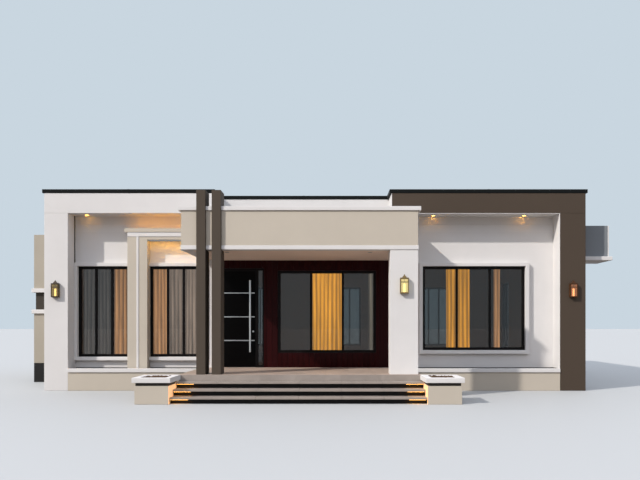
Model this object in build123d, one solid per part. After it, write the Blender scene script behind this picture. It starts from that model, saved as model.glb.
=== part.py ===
from build123d import *
import os

os.makedirs("parts", exist_ok=True)

# A single-storey flat-roofed house. X runs to the right along the front, Y runs into the house
# from the outer face of the front wall, Z runs up from the ground. All sizes in millimetres.

# Heights, each counted from the one below it
riser_height = 150
riser_count = 4
wall_above_porch = 800
roof_slab_thickness = 200
soffit_rise = 233
frame_beam_height = 547
coping_thickness = 105
coping_side_overhang = 55
coping_front_overhang = 15

# Shell
wall = 225
body_depth = 10400
floor_slab_thickness = 150
pillar_width = 646
right_pillar_width = 696
frame_recess = 550
left_beam_inset = 60

# Front, from left to right
first_window_margin = 80
wing_window_width = 1420
pier_gap = 40
pier_outer_band = 250
pier_trim_band = 64
pier_inner_band = 236
porch_side_margin = 60
recess_margin = 440
porch_window_margin = 390
porch_window_width = 2750
right_window_inner_margin = 910
right_window_width = 2870
right_window_outer_margin = 808

# Windows
wing_window_height = 2530
wing_window_sill = 300
right_window_sill = 485
porch_window_sill = 410
frame_bar = 70
frame_mullion = 55
window_frame_depth = 90
glass_thickness = 20
panes_per_window = 3
surround_width = 100
surround_proud = 110

# Front door
door_leaf_width = 976
door_leaf_height = 2704
door_leaf_thickness = 50
door_gap = 8
door_setback = 20
door_jamb = 60
door_head = 60
door_stop = 12
sidelight_width = 123
sidelight_jamb = 40
strip_height = 28
strip_depth = 6
strip_proud = 3
strip_margin = 40
strip_levels = (741, 1404, 2073)
pull_radius = 27
pull_length = 2010
pull_standoff = 70
pull_edge_distance = 160
pull_start = 430
pull_post_inset = 241
hinge_radius = 9
hinge_pin_radius = 5
hinge_clearance = 0.3
hinge_half_height = 50
hinge_plate_thickness = 4
hinge_plate_width = 46
hinge_count = 3
hinge_end_distance = 250

# Porch
porch_depth = 2655
porch_door_clearance = 220
porch_overlap = 460
porch_beam_thickness = 250
fascia_height = 840
bottom_band_height = 100
bottom_band_proud = 15
top_trim_height = 100
top_trim_side_overhang = 70
top_trim_front_overhang = 30
porch_ceiling_thickness = 50
porch_slab_thickness = 200
porch_slab_drop = 150
cladding_thickness = 20
column_width = 675
column_depth = 470
fin_width = 220
fin_gap = 150
fin_depth = 480
fin_proud = 75
fin_notch = 120
fin_inset = 380
fin_rise = 380

# Steps and porch floor
step_left_margin = 40
step_right_margin = 90
step_going = 300
tread_thickness = 45
nosing = 130

# Planting
planter_width = 770
planter_depth = 900
planter_wall = 100
planter_cap_height = 115
planter_neck_height = 70
planter_neck_inset = 20
cap_overhang = 50
bed_wall_thickness = 150
bed_cap_height = 100
bed_cap_overhang = 30
soil_drop = 30

# Stepped portal round the second window
portal_depth = 300
portal_inner_depth = 296
portal_trim_depth = 310
portal_core_depth = 200
portal_opening_height = 3543
portal_inner_height = 84
portal_trim_height = 123
portal_slab_height = 105
portal_slab_depth = 325
portal_slab_overhang = 75

# Roof parapet
middle_parapet_setback = 360

# Left bay
bay_start = 2200
bay_length = 4600
bay_projection = 1529
bay_wall_height = 4020
bay_slab_drop = 270
bay_opening_height = 3000
ledge_level = 1550
ledge_height = 125
ledge_overhang = 55
band_height = 535
band_recess = 40

# Canopy on the right side
canopy_setback = 60
canopy_length = 950
canopy_projection = 838
canopy_height = 865
canopy_trim_height = 105
canopy_trim_overhang = 70
canopy_edge_width = 35
lining_thickness = 15

# Windows of the other sides, as distances along each wall
side_window_starts = (2600, 6600)
left_window_start = 7800
back_window_starts = (1800, 5700, 9600)

# Curtains
curtain_thickness = 60
curtain_wall_distance = 75
rail_radius = 14
rail_rise = 90
rail_reach = 120
curtain_floor_gap = 20
first_sheer_width = 1040
first_curtain_width = 330
second_curtain_width = 400
second_sheer_width = 960
porch_curtain_start = 940
porch_curtain_width = 890
porch_side_curtain_width = 190
right_curtain_start = 720
right_curtain_width = 670
right_narrow_start = 2080
right_narrow_width = 180
bracket_size = 20

# Lamps
lantern_width = 205
lantern_depth = 95
lantern_glass_height = 344
lantern_post = 14
lantern_plate = 18
lantern_back_thickness = 8
lantern_cap_width = 120
lantern_cap_depth = 70
lantern_cap_height = 65
lantern_knob_radius = 14
lantern_knob_height = 22
lantern_level = 2130
downlight_radius = 60
downlight_thickness = 12
left_lamp_inset = 330
right_inner_lamp_inset = 270
right_outer_lamp_inset = 100
porch_lamp_front_inset = 300
porch_left_lamp_inset = 760
porch_right_lamp_inset = 880

# Levels worked out from the sizes above
floor_level = riser_height * riser_count
window_head = floor_level + wing_window_sill + wing_window_height
door_leaf_top = floor_level + door_leaf_height + door_gap
door_opening_top = door_leaf_top + door_gap + door_head
porch_soffit = door_opening_top + porch_door_clearance
fascia_bottom = porch_soffit + bottom_band_height
fascia_top = fascia_bottom + fascia_height
wall_top = porch_soffit + wall_above_porch
slab_top = wall_top + roof_slab_thickness
frame_soffit = slab_top + soffit_rise
parapet_top = frame_soffit + frame_beam_height

# Stations along the front worked out from the sizes above
door_opening_width = (door_jamb + door_gap + door_leaf_width + door_gap + frame_mullion
                      + sidelight_width + sidelight_jamb)
pier_width = pier_outer_band + pier_trim_band + pier_inner_band
left_wing_width = (pillar_width + first_window_margin + wing_window_width + pier_gap + pier_width
                   + wing_window_width + porch_side_margin + recess_margin)
recess_width = door_opening_width + 2 * porch_window_margin + porch_window_width
right_wing_width = (right_window_inner_margin + right_window_width + right_window_outer_margin
                    + right_pillar_width)
body_width = left_wing_width + recess_width + right_wing_width
left_end = -body_width / 2
right_end = body_width / 2
left_pillar_edge = left_end + pillar_width
first_window_x = left_pillar_edge + first_window_margin
pier_x = first_window_x + wing_window_width + pier_gap
pier_right = pier_x + pier_width
second_window_x = pier_right
recess_left = left_end + left_wing_width
recess_right = recess_left + recess_width
porch_left = recess_left - recess_margin
porch_right = recess_right + porch_overlap
porch_window_x = recess_left + door_opening_width + porch_window_margin
right_window_x = recess_right + right_window_inner_margin
right_pillar_edge = right_end - right_pillar_width
steps_left = porch_left - step_left_margin
steps_right = porch_right + step_right_margin
slab_front = -(porch_depth + fin_proud)
bay_left = left_end - bay_projection


# How far a cutting shape runs past the face that it opens
cut_past = 1


def block(x0, x1, y0, y1, z0, z1):
    """A plain rectangular solid between two corners."""
    return Pos(x0, y0, z0) * Box(x1 - x0, y1 - y0, z1 - z0, align=(Align.MIN,) * 3)


def rod(start, axis, radius, length):
    """A round bar from a point along an axis."""
    return extrude(Plane(origin=start, z_dir=axis) * Circle(radius), length)


def write(node, *shapes):
    """Write one sub-part, a single solid or several that stand apart, to its own file."""
    solids = [solid for shape in shapes for solid in shape.solids()]
    export_step(solids[0] if len(solids) == 1 else Compound(solids), f"parts/{node}.step")


def facade_place(face, start, level):
    """The place of an opening's lower left corner, seen from outside, on one face of the house."""
    places = {
        "front": Pos(start, 0, level),
        "right": Pos(right_end, start, level) * Rot(0, 0, 90),
        "left": Pos(left_end, start, level) * Rot(0, 0, -90),
        "back": Pos(-start, body_depth, level) * Rot(0, 0, 180),
    }
    return places[face]


# Every window: its place, width and height
front_windows = {
    "first": (facade_place("front", first_window_x, floor_level + wing_window_sill),
              wing_window_width, wing_window_height),
    "second": (facade_place("front", second_window_x, floor_level + wing_window_sill),
               wing_window_width, wing_window_height),
    "porch": (facade_place("front", porch_window_x, floor_level + porch_window_sill),
              porch_window_width, door_leaf_top - floor_level - porch_window_sill),
    "right": (facade_place("front", right_window_x, floor_level + right_window_sill),
              right_window_width, window_head - floor_level - right_window_sill),
}
sill_level = floor_level + wing_window_sill
right_side_windows = [(facade_place("right", start, sill_level), wing_window_width, wing_window_height)
                      for start in side_window_starts]
left_side_windows = [(facade_place("left", left_window_start + wing_window_width, sill_level),
                      wing_window_width, wing_window_height)]
back_windows = [(facade_place("back", left_end + start, sill_level), wing_window_width,
                 wing_window_height) for start in back_window_starts]
other_windows = right_side_windows + left_side_windows + back_windows


def window_hole(window):
    """The hole that a window needs through its wall."""
    place, width, height = window
    return place * block(0, width, -cut_past, wall + cut_past, 0, height)


def pane_edges(width):
    """Left and right edge of each pane between the bars of a frame."""
    pane = (width - 2 * frame_bar - (panes_per_window - 1) * frame_mullion) / panes_per_window
    return [(frame_bar + i * (pane + frame_mullion), frame_bar + i * (pane + frame_mullion) + pane)
            for i in range(panes_per_window)]


def window_frame(window):
    """Outer bars and mullions as one welded frame that fills its hole."""
    place, width, height = window
    frame = block(0, width, 0, window_frame_depth, 0, height)
    for left, right in pane_edges(width):
        frame -= block(left, right, -cut_past, window_frame_depth + cut_past, frame_bar, height - frame_bar)
    return place * frame


def window_panes(window):
    """One sheet of glass for each light of a window."""
    place, width, height = window
    front = (window_frame_depth - glass_thickness) / 2
    return [place * block(left, right, front, front + glass_thickness, frame_bar, height - frame_bar)
            for left, right in pane_edges(width)]


def window_surround(window):
    """The raised plaster band round a window."""
    place, width, height = window
    band = block(-surround_width, width + surround_width, -surround_proud, 0,
                 -surround_width, height + surround_width)
    return place * (band - block(0, width, -surround_proud - cut_past, cut_past, 0, height))


# Foundation: the house, the bay, the porch and the stepped base under the treads
base_faces = [slab_front - step_going * (i + 1) + nosing for i in range(riser_count - 1)]
stair_outline = [(slab_front, 0), (base_faces[-1], 0)]
for i in reversed(range(riser_count - 1)):
    top = riser_height * (riser_count - 1 - i) - tread_thickness
    stair_outline += [(base_faces[i], top), (base_faces[i - 1] if i else slab_front, top)]
stair_base = Pos(steps_left, 0, 0) * extrude(Plane.YZ * make_face(Polyline(*stair_outline, close=True)),
                                             steps_right - steps_left)
foundation = block(left_end, right_end, 0, body_depth, 0, floor_level - floor_slab_thickness)
foundation += block(steps_left, steps_right, slab_front, 0, 0, floor_level - floor_slab_thickness)
foundation += block(bay_left, left_end, bay_start, bay_start + bay_length, 0, floor_level)
foundation += stair_base
write("foundation_plinth", foundation)
write("floor_slab", block(left_end, right_end, 0, body_depth,
                          floor_level - floor_slab_thickness, floor_level))
write("porch_floor", block(steps_left, steps_right, slab_front, 0,
                           floor_level - floor_slab_thickness, floor_level))

# Treads, each reaching back to the base of the tread above
treads = []
for i in range(riser_count - 1):
    level = riser_height * (riser_count - 1 - i)
    back = base_faces[i - 1] if i else slab_front
    treads.append(block(steps_left, steps_right, slab_front - step_going * (i + 1), back,
                        level - tread_thickness, level))
write("step_treads", *treads)

# Planters beside the steps and low walls of the planting beds
planter_back = slab_front - cap_overhang
planter_neck_top = floor_level - planter_cap_height
planter_body_top = planter_neck_top - planter_neck_height
bed_wall_top = floor_level - bed_cap_height


def planter_ring(x0, inset, z0, z1):
    """The four sides of one planter between two levels, set in from its faces."""
    x1 = x0 + planter_width
    y0 = planter_back - planter_depth
    ring = block(x0 + inset, x1 - inset, y0 + inset, planter_back - inset, z0, z1)
    return ring - block(x0 + planter_wall, x1 - planter_wall, y0 + planter_wall,
                        planter_back - planter_wall, z0 - cut_past, z1 + cut_past)


def planter_cap(x0):
    """The cap ring on one planter."""
    return planter_ring(x0, -cap_overhang, planter_neck_top, floor_level)


def planter_soil(x0):
    """The soil inside one planter."""
    y0 = planter_back - planter_depth
    return block(x0 + planter_wall, x0 + planter_width - planter_wall, y0 + planter_wall,
                 planter_back - planter_wall, 0, floor_level - soil_drop)


planter_starts = (steps_left - planter_width, steps_right)
bed_spans = ((left_pillar_edge, steps_left), (steps_right, right_pillar_edge))
bed_back = -frame_recess + bed_wall_thickness
bed_walls = [block(x0, x1, -frame_recess, bed_back, 0, bed_wall_top) for x0, x1 in bed_spans]
bed_caps = [block(x0, x1, -frame_recess - bed_cap_overhang, bed_back, bed_wall_top, floor_level)
            for x0, x1 in bed_spans]

# The portal's pier and lintel, with the white trim let into both
trim_top = floor_level + portal_opening_height + portal_inner_height + portal_trim_height
trim_bottom = trim_top - portal_trim_height
trim_x = pier_x + pier_outer_band
trim_right = trim_x + pier_trim_band
trim_outline = [(trim_x, 0), (trim_x, trim_bottom), (pier_x, trim_bottom), (pier_x, trim_top),
                (porch_left, trim_top), (porch_left, trim_bottom), (trim_right, trim_bottom),
                (trim_right, 0)]
portal_trim = Pos(0, -portal_core_depth, 0) * extrude(
    Plane.XZ * make_face(Polyline(*trim_outline, close=True)), portal_trim_depth - portal_core_depth)
pier = block(pier_x, trim_right, -portal_depth, 0, 0, trim_top)
pier += block(trim_x, pier_right, -portal_inner_depth, 0, 0, trim_top)
lintel_bottom = floor_level + portal_opening_height
lintel = block(pier_right, porch_left, -portal_inner_depth, 0, lintel_bottom, trim_top)
lintel += block(pier_x - portal_slab_overhang, porch_left, -portal_slab_depth, 0,
                trim_top, trim_top + portal_slab_height)
write("portal_pier", pier - portal_trim)
write("portal_lintel", lintel - portal_trim)
write("portal_trim", portal_trim)

# Planting walls, caps and soil, which leave the pier and its proud strip free
soils = [planter_soil(x0) for x0 in planter_starts]
soils += [block(x0, x1, bed_back, 0, 0, floor_level - bed_cap_height - soil_drop) for x0, x1 in bed_spans]
pier_footprint = block(pier_x, pier_right, -portal_depth, 0, 0, wall_top)
pier_footprint += block(trim_x, trim_right, -portal_trim_depth, 0, 0, wall_top)
write("planter_walls", *[planter_ring(x0, 0, 0, planter_body_top) for x0 in planter_starts],
      *[bed_wall - pier_footprint for bed_wall in bed_walls])
write("planter_necks", *[planter_ring(x0, planter_neck_inset, planter_body_top, planter_neck_top)
                         for x0 in planter_starts])
write("planting_caps", *[planter_cap(x0) for x0 in planter_starts],
      *[bed_cap - pier_footprint for bed_cap in bed_caps])
write("planting_soil", *[soil - pier_footprint for soil in soils])

# Outer walls, split beside and over the front door
inner_left = left_end + wall
inner_right = right_end - wall
door_right = recess_left + door_opening_width
front_left = block(inner_left, recess_left, 0, wall, floor_level, wall_top)
front_left -= window_hole(front_windows["first"])
front_left -= window_hole(front_windows["second"])
porch_wall = block(door_right, recess_right, 0, wall, floor_level, wall_top)
porch_wall -= window_hole(front_windows["porch"])
front_right = block(recess_right, inner_right, 0, wall, floor_level, wall_top)
front_right -= window_hole(front_windows["right"])
write("front_wall_left", front_left)
write("porch_wall", porch_wall)
write("front_wall_right", front_right)
write("door_head_wall", block(recess_left, door_right, 0, wall, door_opening_top, wall_top))

left_wall = block(left_end, inner_left, 0, body_depth, floor_level, wall_top)
left_wall -= block(left_end - cut_past, inner_left + cut_past, bay_start + wall,
                   bay_start + bay_length - wall, floor_level - cut_past, floor_level + bay_opening_height)
for window in left_side_windows:
    left_wall -= window_hole(window)
right_wall = block(inner_right, right_end, 0, body_depth, floor_level, wall_top)
for window in right_side_windows:
    right_wall -= window_hole(window)
back_wall = block(inner_left, inner_right, body_depth - wall, body_depth, floor_level, wall_top)
for window in back_windows:
    back_wall -= window_hole(window)
write("left_side_wall", left_wall)
write("right_side_wall", right_wall)
write("back_wall", back_wall)

# Left bay: walls on three sides with a recessed band between two ledges
bay_end = bay_start + bay_length
bay_top = floor_level + bay_wall_height
band_bottom = floor_level + ledge_level + ledge_height


def bay_shell(outset, z0, z1):
    """The three outer sides of the bay as one solid, moved out by a given amount."""
    shell = block(bay_left - outset, left_end, bay_start - outset, bay_end + outset, z0, z1)
    return shell - block(bay_left + wall, left_end + cut_past, bay_start + wall, bay_end - wall,
                         z0 - cut_past, z1 + cut_past)


def bay_ledge(z0):
    """A projecting ledge round the bay, as far as the wall face behind it."""
    ledge = block(bay_left - ledge_overhang, left_end, bay_start - ledge_overhang,
                  bay_end + ledge_overhang, z0, z0 + ledge_height)
    return ledge - block(bay_left, left_end + cut_past, bay_start, bay_end, z0 - cut_past,
                         z0 + ledge_height + cut_past)


bay_walls = bay_shell(0, floor_level, bay_top)
band_cut = block(bay_left - cut_past, left_end, bay_start - cut_past, bay_end + cut_past,
                 band_bottom, band_bottom + band_height)
band_cut -= block(bay_left + band_recess, left_end + cut_past, bay_start + band_recess,
                  bay_end - band_recess, 0, wall_top)
write("bay_walls", bay_walls - band_cut)
write("bay_ledges", bay_ledge(band_bottom - ledge_height), bay_ledge(band_bottom + band_height))

# Roof slabs of the house, the porch and the bay
porch_slab_top = fascia_top - porch_slab_drop
beam_in = porch_beam_thickness
write("roof_slabs",
      block(left_end, right_end, 0, body_depth, wall_top, slab_top),
      block(porch_left + beam_in, porch_right - beam_in, -porch_depth + beam_in, 0,
            porch_slab_top - porch_slab_thickness, porch_slab_top),
      block(bay_left + wall, left_end, bay_start + wall, bay_end - wall,
            bay_top - bay_slab_drop - roof_slab_thickness, bay_top - bay_slab_drop))

# Frames round the two wings: a pillar at the outer end and a deep beam along the top
left_pillar = block(left_end, left_pillar_edge, -frame_recess, 0, 0, frame_soffit)
write("left_frame_pillar", left_pillar)
write("right_frame_pillar", block(right_pillar_edge, right_end, -frame_recess, 0, 0, frame_soffit))
beam_outline = [(-frame_recess, frame_soffit), (0, frame_soffit), (0, slab_top), (wall, slab_top),
                (wall, parapet_top), (-frame_recess, parapet_top)]


def frame_beam(x0, x1):
    """The beam over one wing, with its downstand on the wall line."""
    section = Plane.YZ * make_face(Polyline(*beam_outline, close=True))
    return Pos(x0, 0, 0) * extrude(section, x1 - x0)


left_beam_end = recess_left - left_beam_inset
write("left_frame_beam", frame_beam(left_end, left_beam_end))
downstand_face = block(recess_right, right_pillar_edge, 0, lining_thickness, slab_top, frame_soffit)
write("right_frame_beam", frame_beam(recess_right + lining_thickness, right_end) - downstand_face)
lining_x = right_pillar_edge - lining_thickness
lining = block(recess_right, right_pillar_edge, -frame_recess, 0, frame_soffit - lining_thickness,
               frame_soffit)
lining += block(lining_x, right_pillar_edge, -frame_recess, 0, floor_level, frame_soffit)
lining += block(recess_right, recess_right + lining_thickness, -frame_recess, wall,
                frame_soffit, parapet_top)
lining += block(recess_right, recess_right + lining_thickness, 0, wall, slab_top, frame_soffit)
lining += downstand_face
write("right_frame_lining", lining)

# Parapets round the roof and the coping on them
parapet_rear = block(left_end, right_end, wall, body_depth, slab_top, parapet_top)
parapet_rear -= block(inner_left, inner_right, 0, body_depth - wall, 0, parapet_top + cut_past)
middle_back = middle_parapet_setback + wall
parapet_middle = block(left_beam_end - wall, recess_right + wall, wall, middle_back, slab_top, parapet_top)
parapet_middle -= block(left_beam_end, recess_right, 0, middle_parapet_setback, 0, parapet_top + cut_past)
write("parapet_walls", parapet_rear, parapet_middle)
coping_plan = [
    (left_end, left_beam_end, -frame_recess, wall),
    (recess_right, right_end, -frame_recess, wall),
    (left_end, inner_left, wall, body_depth),
    (inner_right, right_end, wall, body_depth),
    (left_end, right_end, body_depth - wall, body_depth),
    (left_beam_end - wall, left_beam_end, wall, middle_back),
    (recess_right, recess_right + wall, wall, middle_back),
    (left_beam_end - wall, recess_right + wall, middle_parapet_setback, middle_back),
]
coping = None
for x0, x1, y0, y1 in coping_plan:
    part = block(x0 - coping_side_overhang, x1 + coping_side_overhang, y0 - coping_front_overhang,
                 y1 + coping_front_overhang, parapet_top, parapet_top + coping_thickness)
    coping = part if coping is None else coping + part
write("parapet_coping", coping)

# Twin fins at the porch's left front, halved over the beam
fin_front = slab_front
fin_back = fin_front + fin_depth
fin_seat = -porch_depth + fin_notch
fin_top = fascia_top + top_trim_height + fin_rise
fin_outline = [(fin_front, floor_level), (fin_back, floor_level), (fin_back, porch_soffit),
               (fin_seat, porch_soffit), (fin_seat, fascia_top + top_trim_height),
               (fin_back, fascia_top + top_trim_height), (fin_back, fin_top), (fin_front, fin_top)]
fin_starts = [porch_left + fin_inset + i * (fin_width + fin_gap) for i in range(2)]
fin_section = Plane.YZ * make_face(Polyline(*fin_outline, close=True))
fins = [Pos(x0, 0, 0) * extrude(fin_section, fin_width) for x0 in fin_starts]
write("entrance_fins", *fins)


def porch_ring(side, front, z0, z1):
    """A band round the porch roof's three free sides, notched for the fins."""
    ring = block(porch_left - side, porch_right + side, -porch_depth - front, 0, z0, z1)
    ring -= block(porch_left + beam_in, porch_right - beam_in, -porch_depth + beam_in, cut_past,
                  z0 - cut_past, z1 + cut_past)
    for x0 in fin_starts:
        ring -= block(x0, x0 + fin_width, -porch_depth - front - cut_past, fin_seat,
                      z0 - cut_past, z1 + cut_past)
    return ring


write("porch_fascia", porch_ring(0, 0, fascia_bottom, fascia_top))
canopy_front = -canopy_setback
canopy_back = canopy_front + canopy_length
canopy_right = right_end + canopy_projection
canopy_edge = canopy_right - canopy_edge_width
canopy_top = fascia_bottom + canopy_height
canopy_trim = block(right_end, canopy_right + canopy_trim_overhang, canopy_front - canopy_trim_overhang,
                    canopy_back + canopy_trim_overhang, fascia_bottom - canopy_trim_height, fascia_bottom)
canopy_trim += block(canopy_edge, canopy_right, canopy_front, canopy_back, fascia_bottom, canopy_top)
write("side_canopy", block(right_end, canopy_edge, canopy_front, canopy_back, fascia_bottom, canopy_top))
write("edge_trims", porch_ring(bottom_band_proud, bottom_band_proud, porch_soffit, fascia_bottom),
      porch_ring(top_trim_side_overhang, top_trim_front_overhang, fascia_top,
                 fascia_top + top_trim_height),
      canopy_trim)
write("porch_ceiling", block(porch_left + beam_in, porch_right - beam_in, -porch_depth + beam_in, 0,
                             porch_soffit, porch_soffit + porch_ceiling_thickness))
write("porch_column", block(porch_right - column_width, porch_right, -porch_depth,
                            -porch_depth + column_depth, floor_level, porch_soffit))

# Dark cladding on the wall behind the porch
cladding = block(recess_left, recess_right, -cladding_thickness, 0, floor_level, porch_soffit)
cladding -= block(recess_left, door_right, -cladding_thickness - cut_past, cut_past,
                  floor_level - cut_past, door_opening_top)
place, width, height = front_windows["porch"]
cladding -= place * block(0, width, -cladding_thickness - cut_past, cut_past, 0, height)
write("porch_cladding", cladding)

# Windows
write("window_frames", *[window_frame(w) for w in front_windows.values()],
      *[window_frame(w) for w in other_windows])
sidelight_x = recess_left + door_jamb + 2 * door_gap + door_leaf_width + frame_mullion
frame_inner_face = door_setback + door_leaf_thickness
sidelight = block(sidelight_x, sidelight_x + sidelight_width,
                  (frame_inner_face - glass_thickness) / 2, (frame_inner_face + glass_thickness) / 2,
                  floor_level + door_head, door_opening_top - door_head)
panes = [pane for w in list(front_windows.values()) + other_windows for pane in window_panes(w)]
write("window_glass", *panes, sidelight)
surrounds = [window_surround(front_windows[name]) for name in ("first", "second", "right")]
surrounds += [window_surround(w) for w in other_windows]
write("window_surrounds", *[surround - pier_footprint - left_pillar for surround in surrounds])

# Front door: frame with stops and sidelight, leaf, strips, pull and lift-off hinges
leaf_left = recess_left + door_jamb + door_gap
leaf_right = leaf_left + door_leaf_width
mullion_x = leaf_right + door_gap
leaf_bottom = floor_level + door_gap
leaf_top = leaf_bottom + door_leaf_height
frame_head = door_opening_top - door_head
stop_depth = door_setback - door_gap
door_frame = block(recess_left, door_right, 0, frame_inner_face, floor_level, door_opening_top)
door_frame -= block(recess_left + door_jamb, mullion_x, -cut_past, frame_inner_face + cut_past,
                    floor_level - cut_past, frame_head)
door_frame -= block(sidelight_x, sidelight_x + sidelight_width, -cut_past, frame_inner_face + cut_past,
                    floor_level + door_head, frame_head)
stops = block(recess_left + door_jamb, mullion_x, 0, stop_depth, floor_level, frame_head)
stops -= block(leaf_left + door_stop, leaf_right - door_stop, -cut_past, stop_depth + cut_past,
               floor_level - cut_past, leaf_top - door_stop)
write("door_frame", door_frame + stops)

leaf = block(leaf_left, leaf_right, door_setback, frame_inner_face, leaf_bottom, leaf_top)
strips = []
for level in strip_levels:
    z0 = floor_level + level
    strip = block(leaf_left + strip_margin, leaf_right - strip_margin, door_setback - strip_proud,
                  door_setback - strip_proud + strip_depth, z0, z0 + strip_height)
    leaf -= strip
    strips.append(strip)
write("door_leaf", leaf)
write("door_strips", *strips)

pull_x = leaf_right - pull_edge_distance
pull_y = door_setback - pull_standoff
pull = rod((pull_x, pull_y, floor_level + pull_start), (0, 0, 1), pull_radius, pull_length)
for post_level in (pull_start + pull_post_inset, pull_start + pull_length - pull_post_inset):
    pull += rod((pull_x, door_setback, floor_level + post_level), (0, -1, 0), pull_radius / 2,
                pull_standoff)
write("door_pull", pull)

hinge_x = leaf_left - door_gap / 2
hinge_y = frame_inner_face + hinge_clearance + hinge_radius
hinge_span = door_leaf_height - 2 * hinge_end_distance
frame_hinges = []
leaf_hinges = []
for i in range(hinge_count):
    z0 = leaf_bottom + hinge_end_distance + hinge_span * i / (hinge_count - 1) - hinge_half_height
    z1 = z0 + hinge_half_height
    plate_y = frame_inner_face + hinge_plate_thickness
    lower = rod((hinge_x, hinge_y, z0), (0, 0, 1), hinge_radius, hinge_half_height)
    lower += block(hinge_x - hinge_plate_width, hinge_x, frame_inner_face, plate_y, z0, z1)
    lower -= rod((hinge_x, hinge_y, z0), (0, 0, 1), hinge_pin_radius + hinge_clearance, hinge_half_height)
    frame_hinges.append(lower)
    z2 = z1 + hinge_clearance
    upper = rod((hinge_x, hinge_y, z2), (0, 0, 1), hinge_radius, hinge_half_height)
    upper += block(hinge_x, hinge_x + hinge_plate_width, frame_inner_face, plate_y,
                   z2, z2 + hinge_half_height)
    upper += rod((hinge_x, hinge_y, z0 + hinge_radius), (0, 0, 1), hinge_pin_radius,
                 hinge_half_height)
    leaf_hinges.append(upper)
write("door_frame_hinges", *frame_hinges)
write("door_leaf_hinges", *leaf_hinges)

# Curtains and the rails that carry them, behind the front windows
rail_level = window_head + rail_rise
rail_y = wall + curtain_wall_distance + curtain_thickness / 2
second_window_end = second_window_x + wing_window_width
curtain_spans = [
    (first_window_x, first_sheer_width),
    (first_window_x + wing_window_width - first_curtain_width, first_curtain_width),
    (second_window_x, second_curtain_width),
    (second_window_end - second_sheer_width, second_sheer_width),
    (porch_window_x + porch_curtain_start, porch_curtain_width),
    (porch_window_x + porch_window_width - porch_side_curtain_width, porch_side_curtain_width),
    (right_window_x + right_curtain_start, right_curtain_width),
    (right_window_x + right_narrow_start, right_narrow_width),
]
curtains = [block(x, x + width, wall + curtain_wall_distance,
                  wall + curtain_wall_distance + curtain_thickness,
                  floor_level + curtain_floor_gap, rail_level - rail_radius)
            for x, width in curtain_spans]
write("curtains", *curtains)
rails = []
for x, width in ((first_window_x, second_window_end - first_window_x),
                 (porch_window_x, porch_window_width), (right_window_x, right_window_width)):
    rail = rod((x - rail_reach, rail_y, rail_level), (1, 0, 0), rail_radius, width + 2 * rail_reach)
    for bracket_x in (x - rail_reach / 2, x + width / 2, x + width + rail_reach / 2):
        rail += block(bracket_x - bracket_size / 2, bracket_x + bracket_size / 2, wall, rail_y,
                      rail_level - bracket_size / 2, rail_level + bracket_size / 2)
    rails.append(rail)
write("curtain_rails", *rails)


# Wall lanterns and ceiling lamps
def lantern():
    """A flat lantern on its back panel, its face pointing to the front; returns metal and glass."""
    half = lantern_width / 2
    front = -lantern_depth
    inner = half - lantern_post
    low = -lantern_glass_height / 2
    high = lantern_glass_height / 2
    eave_level = high + lantern_plate
    metal = block(-half, half, front, 0, low - lantern_plate, low)
    metal += block(-half, half, front, 0, high, eave_level)
    metal += block(-half, half, -lantern_back_thickness, 0, low, high)
    for post_x in (-half, inner):
        metal += block(post_x, post_x + lantern_post, front, front + lantern_post, low, high)
    eave = Pos(0, front / 2, eave_level) * Rectangle(lantern_cap_width, lantern_cap_depth)
    crown = Pos(0, front / 2, eave_level + lantern_cap_height) * Rectangle(
        2 * lantern_knob_radius, 2 * lantern_knob_radius)
    metal += loft([eave, crown])
    metal += rod((0, front / 2, eave_level + lantern_cap_height), (0, 0, 1),
                 lantern_knob_radius, lantern_knob_height)
    glass = block(-inner, inner, front + lantern_post, -lantern_back_thickness, low, high)
    return metal, glass


lantern_places = [
    ((left_end + left_pillar_edge) / 2, -frame_recess),
    (porch_right - column_width / 2, -porch_depth),
    ((right_end + right_pillar_edge) / 2, -frame_recess),
]
metal, glass = lantern()
places = [Pos(x, y, floor_level + lantern_level) for x, y in lantern_places]
write("wall_lanterns", *[place * metal for place in places])
write("lantern_glass", *[place * glass for place in places])

wing_lamp_y = -frame_recess / 2
porch_lamp_y = -porch_depth + beam_in + porch_lamp_front_inset
downlight_places = [
    (first_window_x + left_lamp_inset, wing_lamp_y, frame_soffit),
    (right_window_x + right_inner_lamp_inset, wing_lamp_y, frame_soffit - lining_thickness),
    (right_window_x + right_window_width - right_outer_lamp_inset, wing_lamp_y,
     frame_soffit - lining_thickness),
    (porch_left + beam_in + porch_left_lamp_inset, porch_lamp_y, porch_soffit),
    (porch_right - beam_in - porch_right_lamp_inset, porch_lamp_y, porch_soffit),
]
write("downlights", *[rod((x, y, z), (0, 0, -1), downlight_radius, downlight_thickness)
                      for x, y, z in downlight_places])
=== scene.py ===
import math
import random

import bmesh
import bpy
from mathutils import Matrix, Vector, noise


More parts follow.
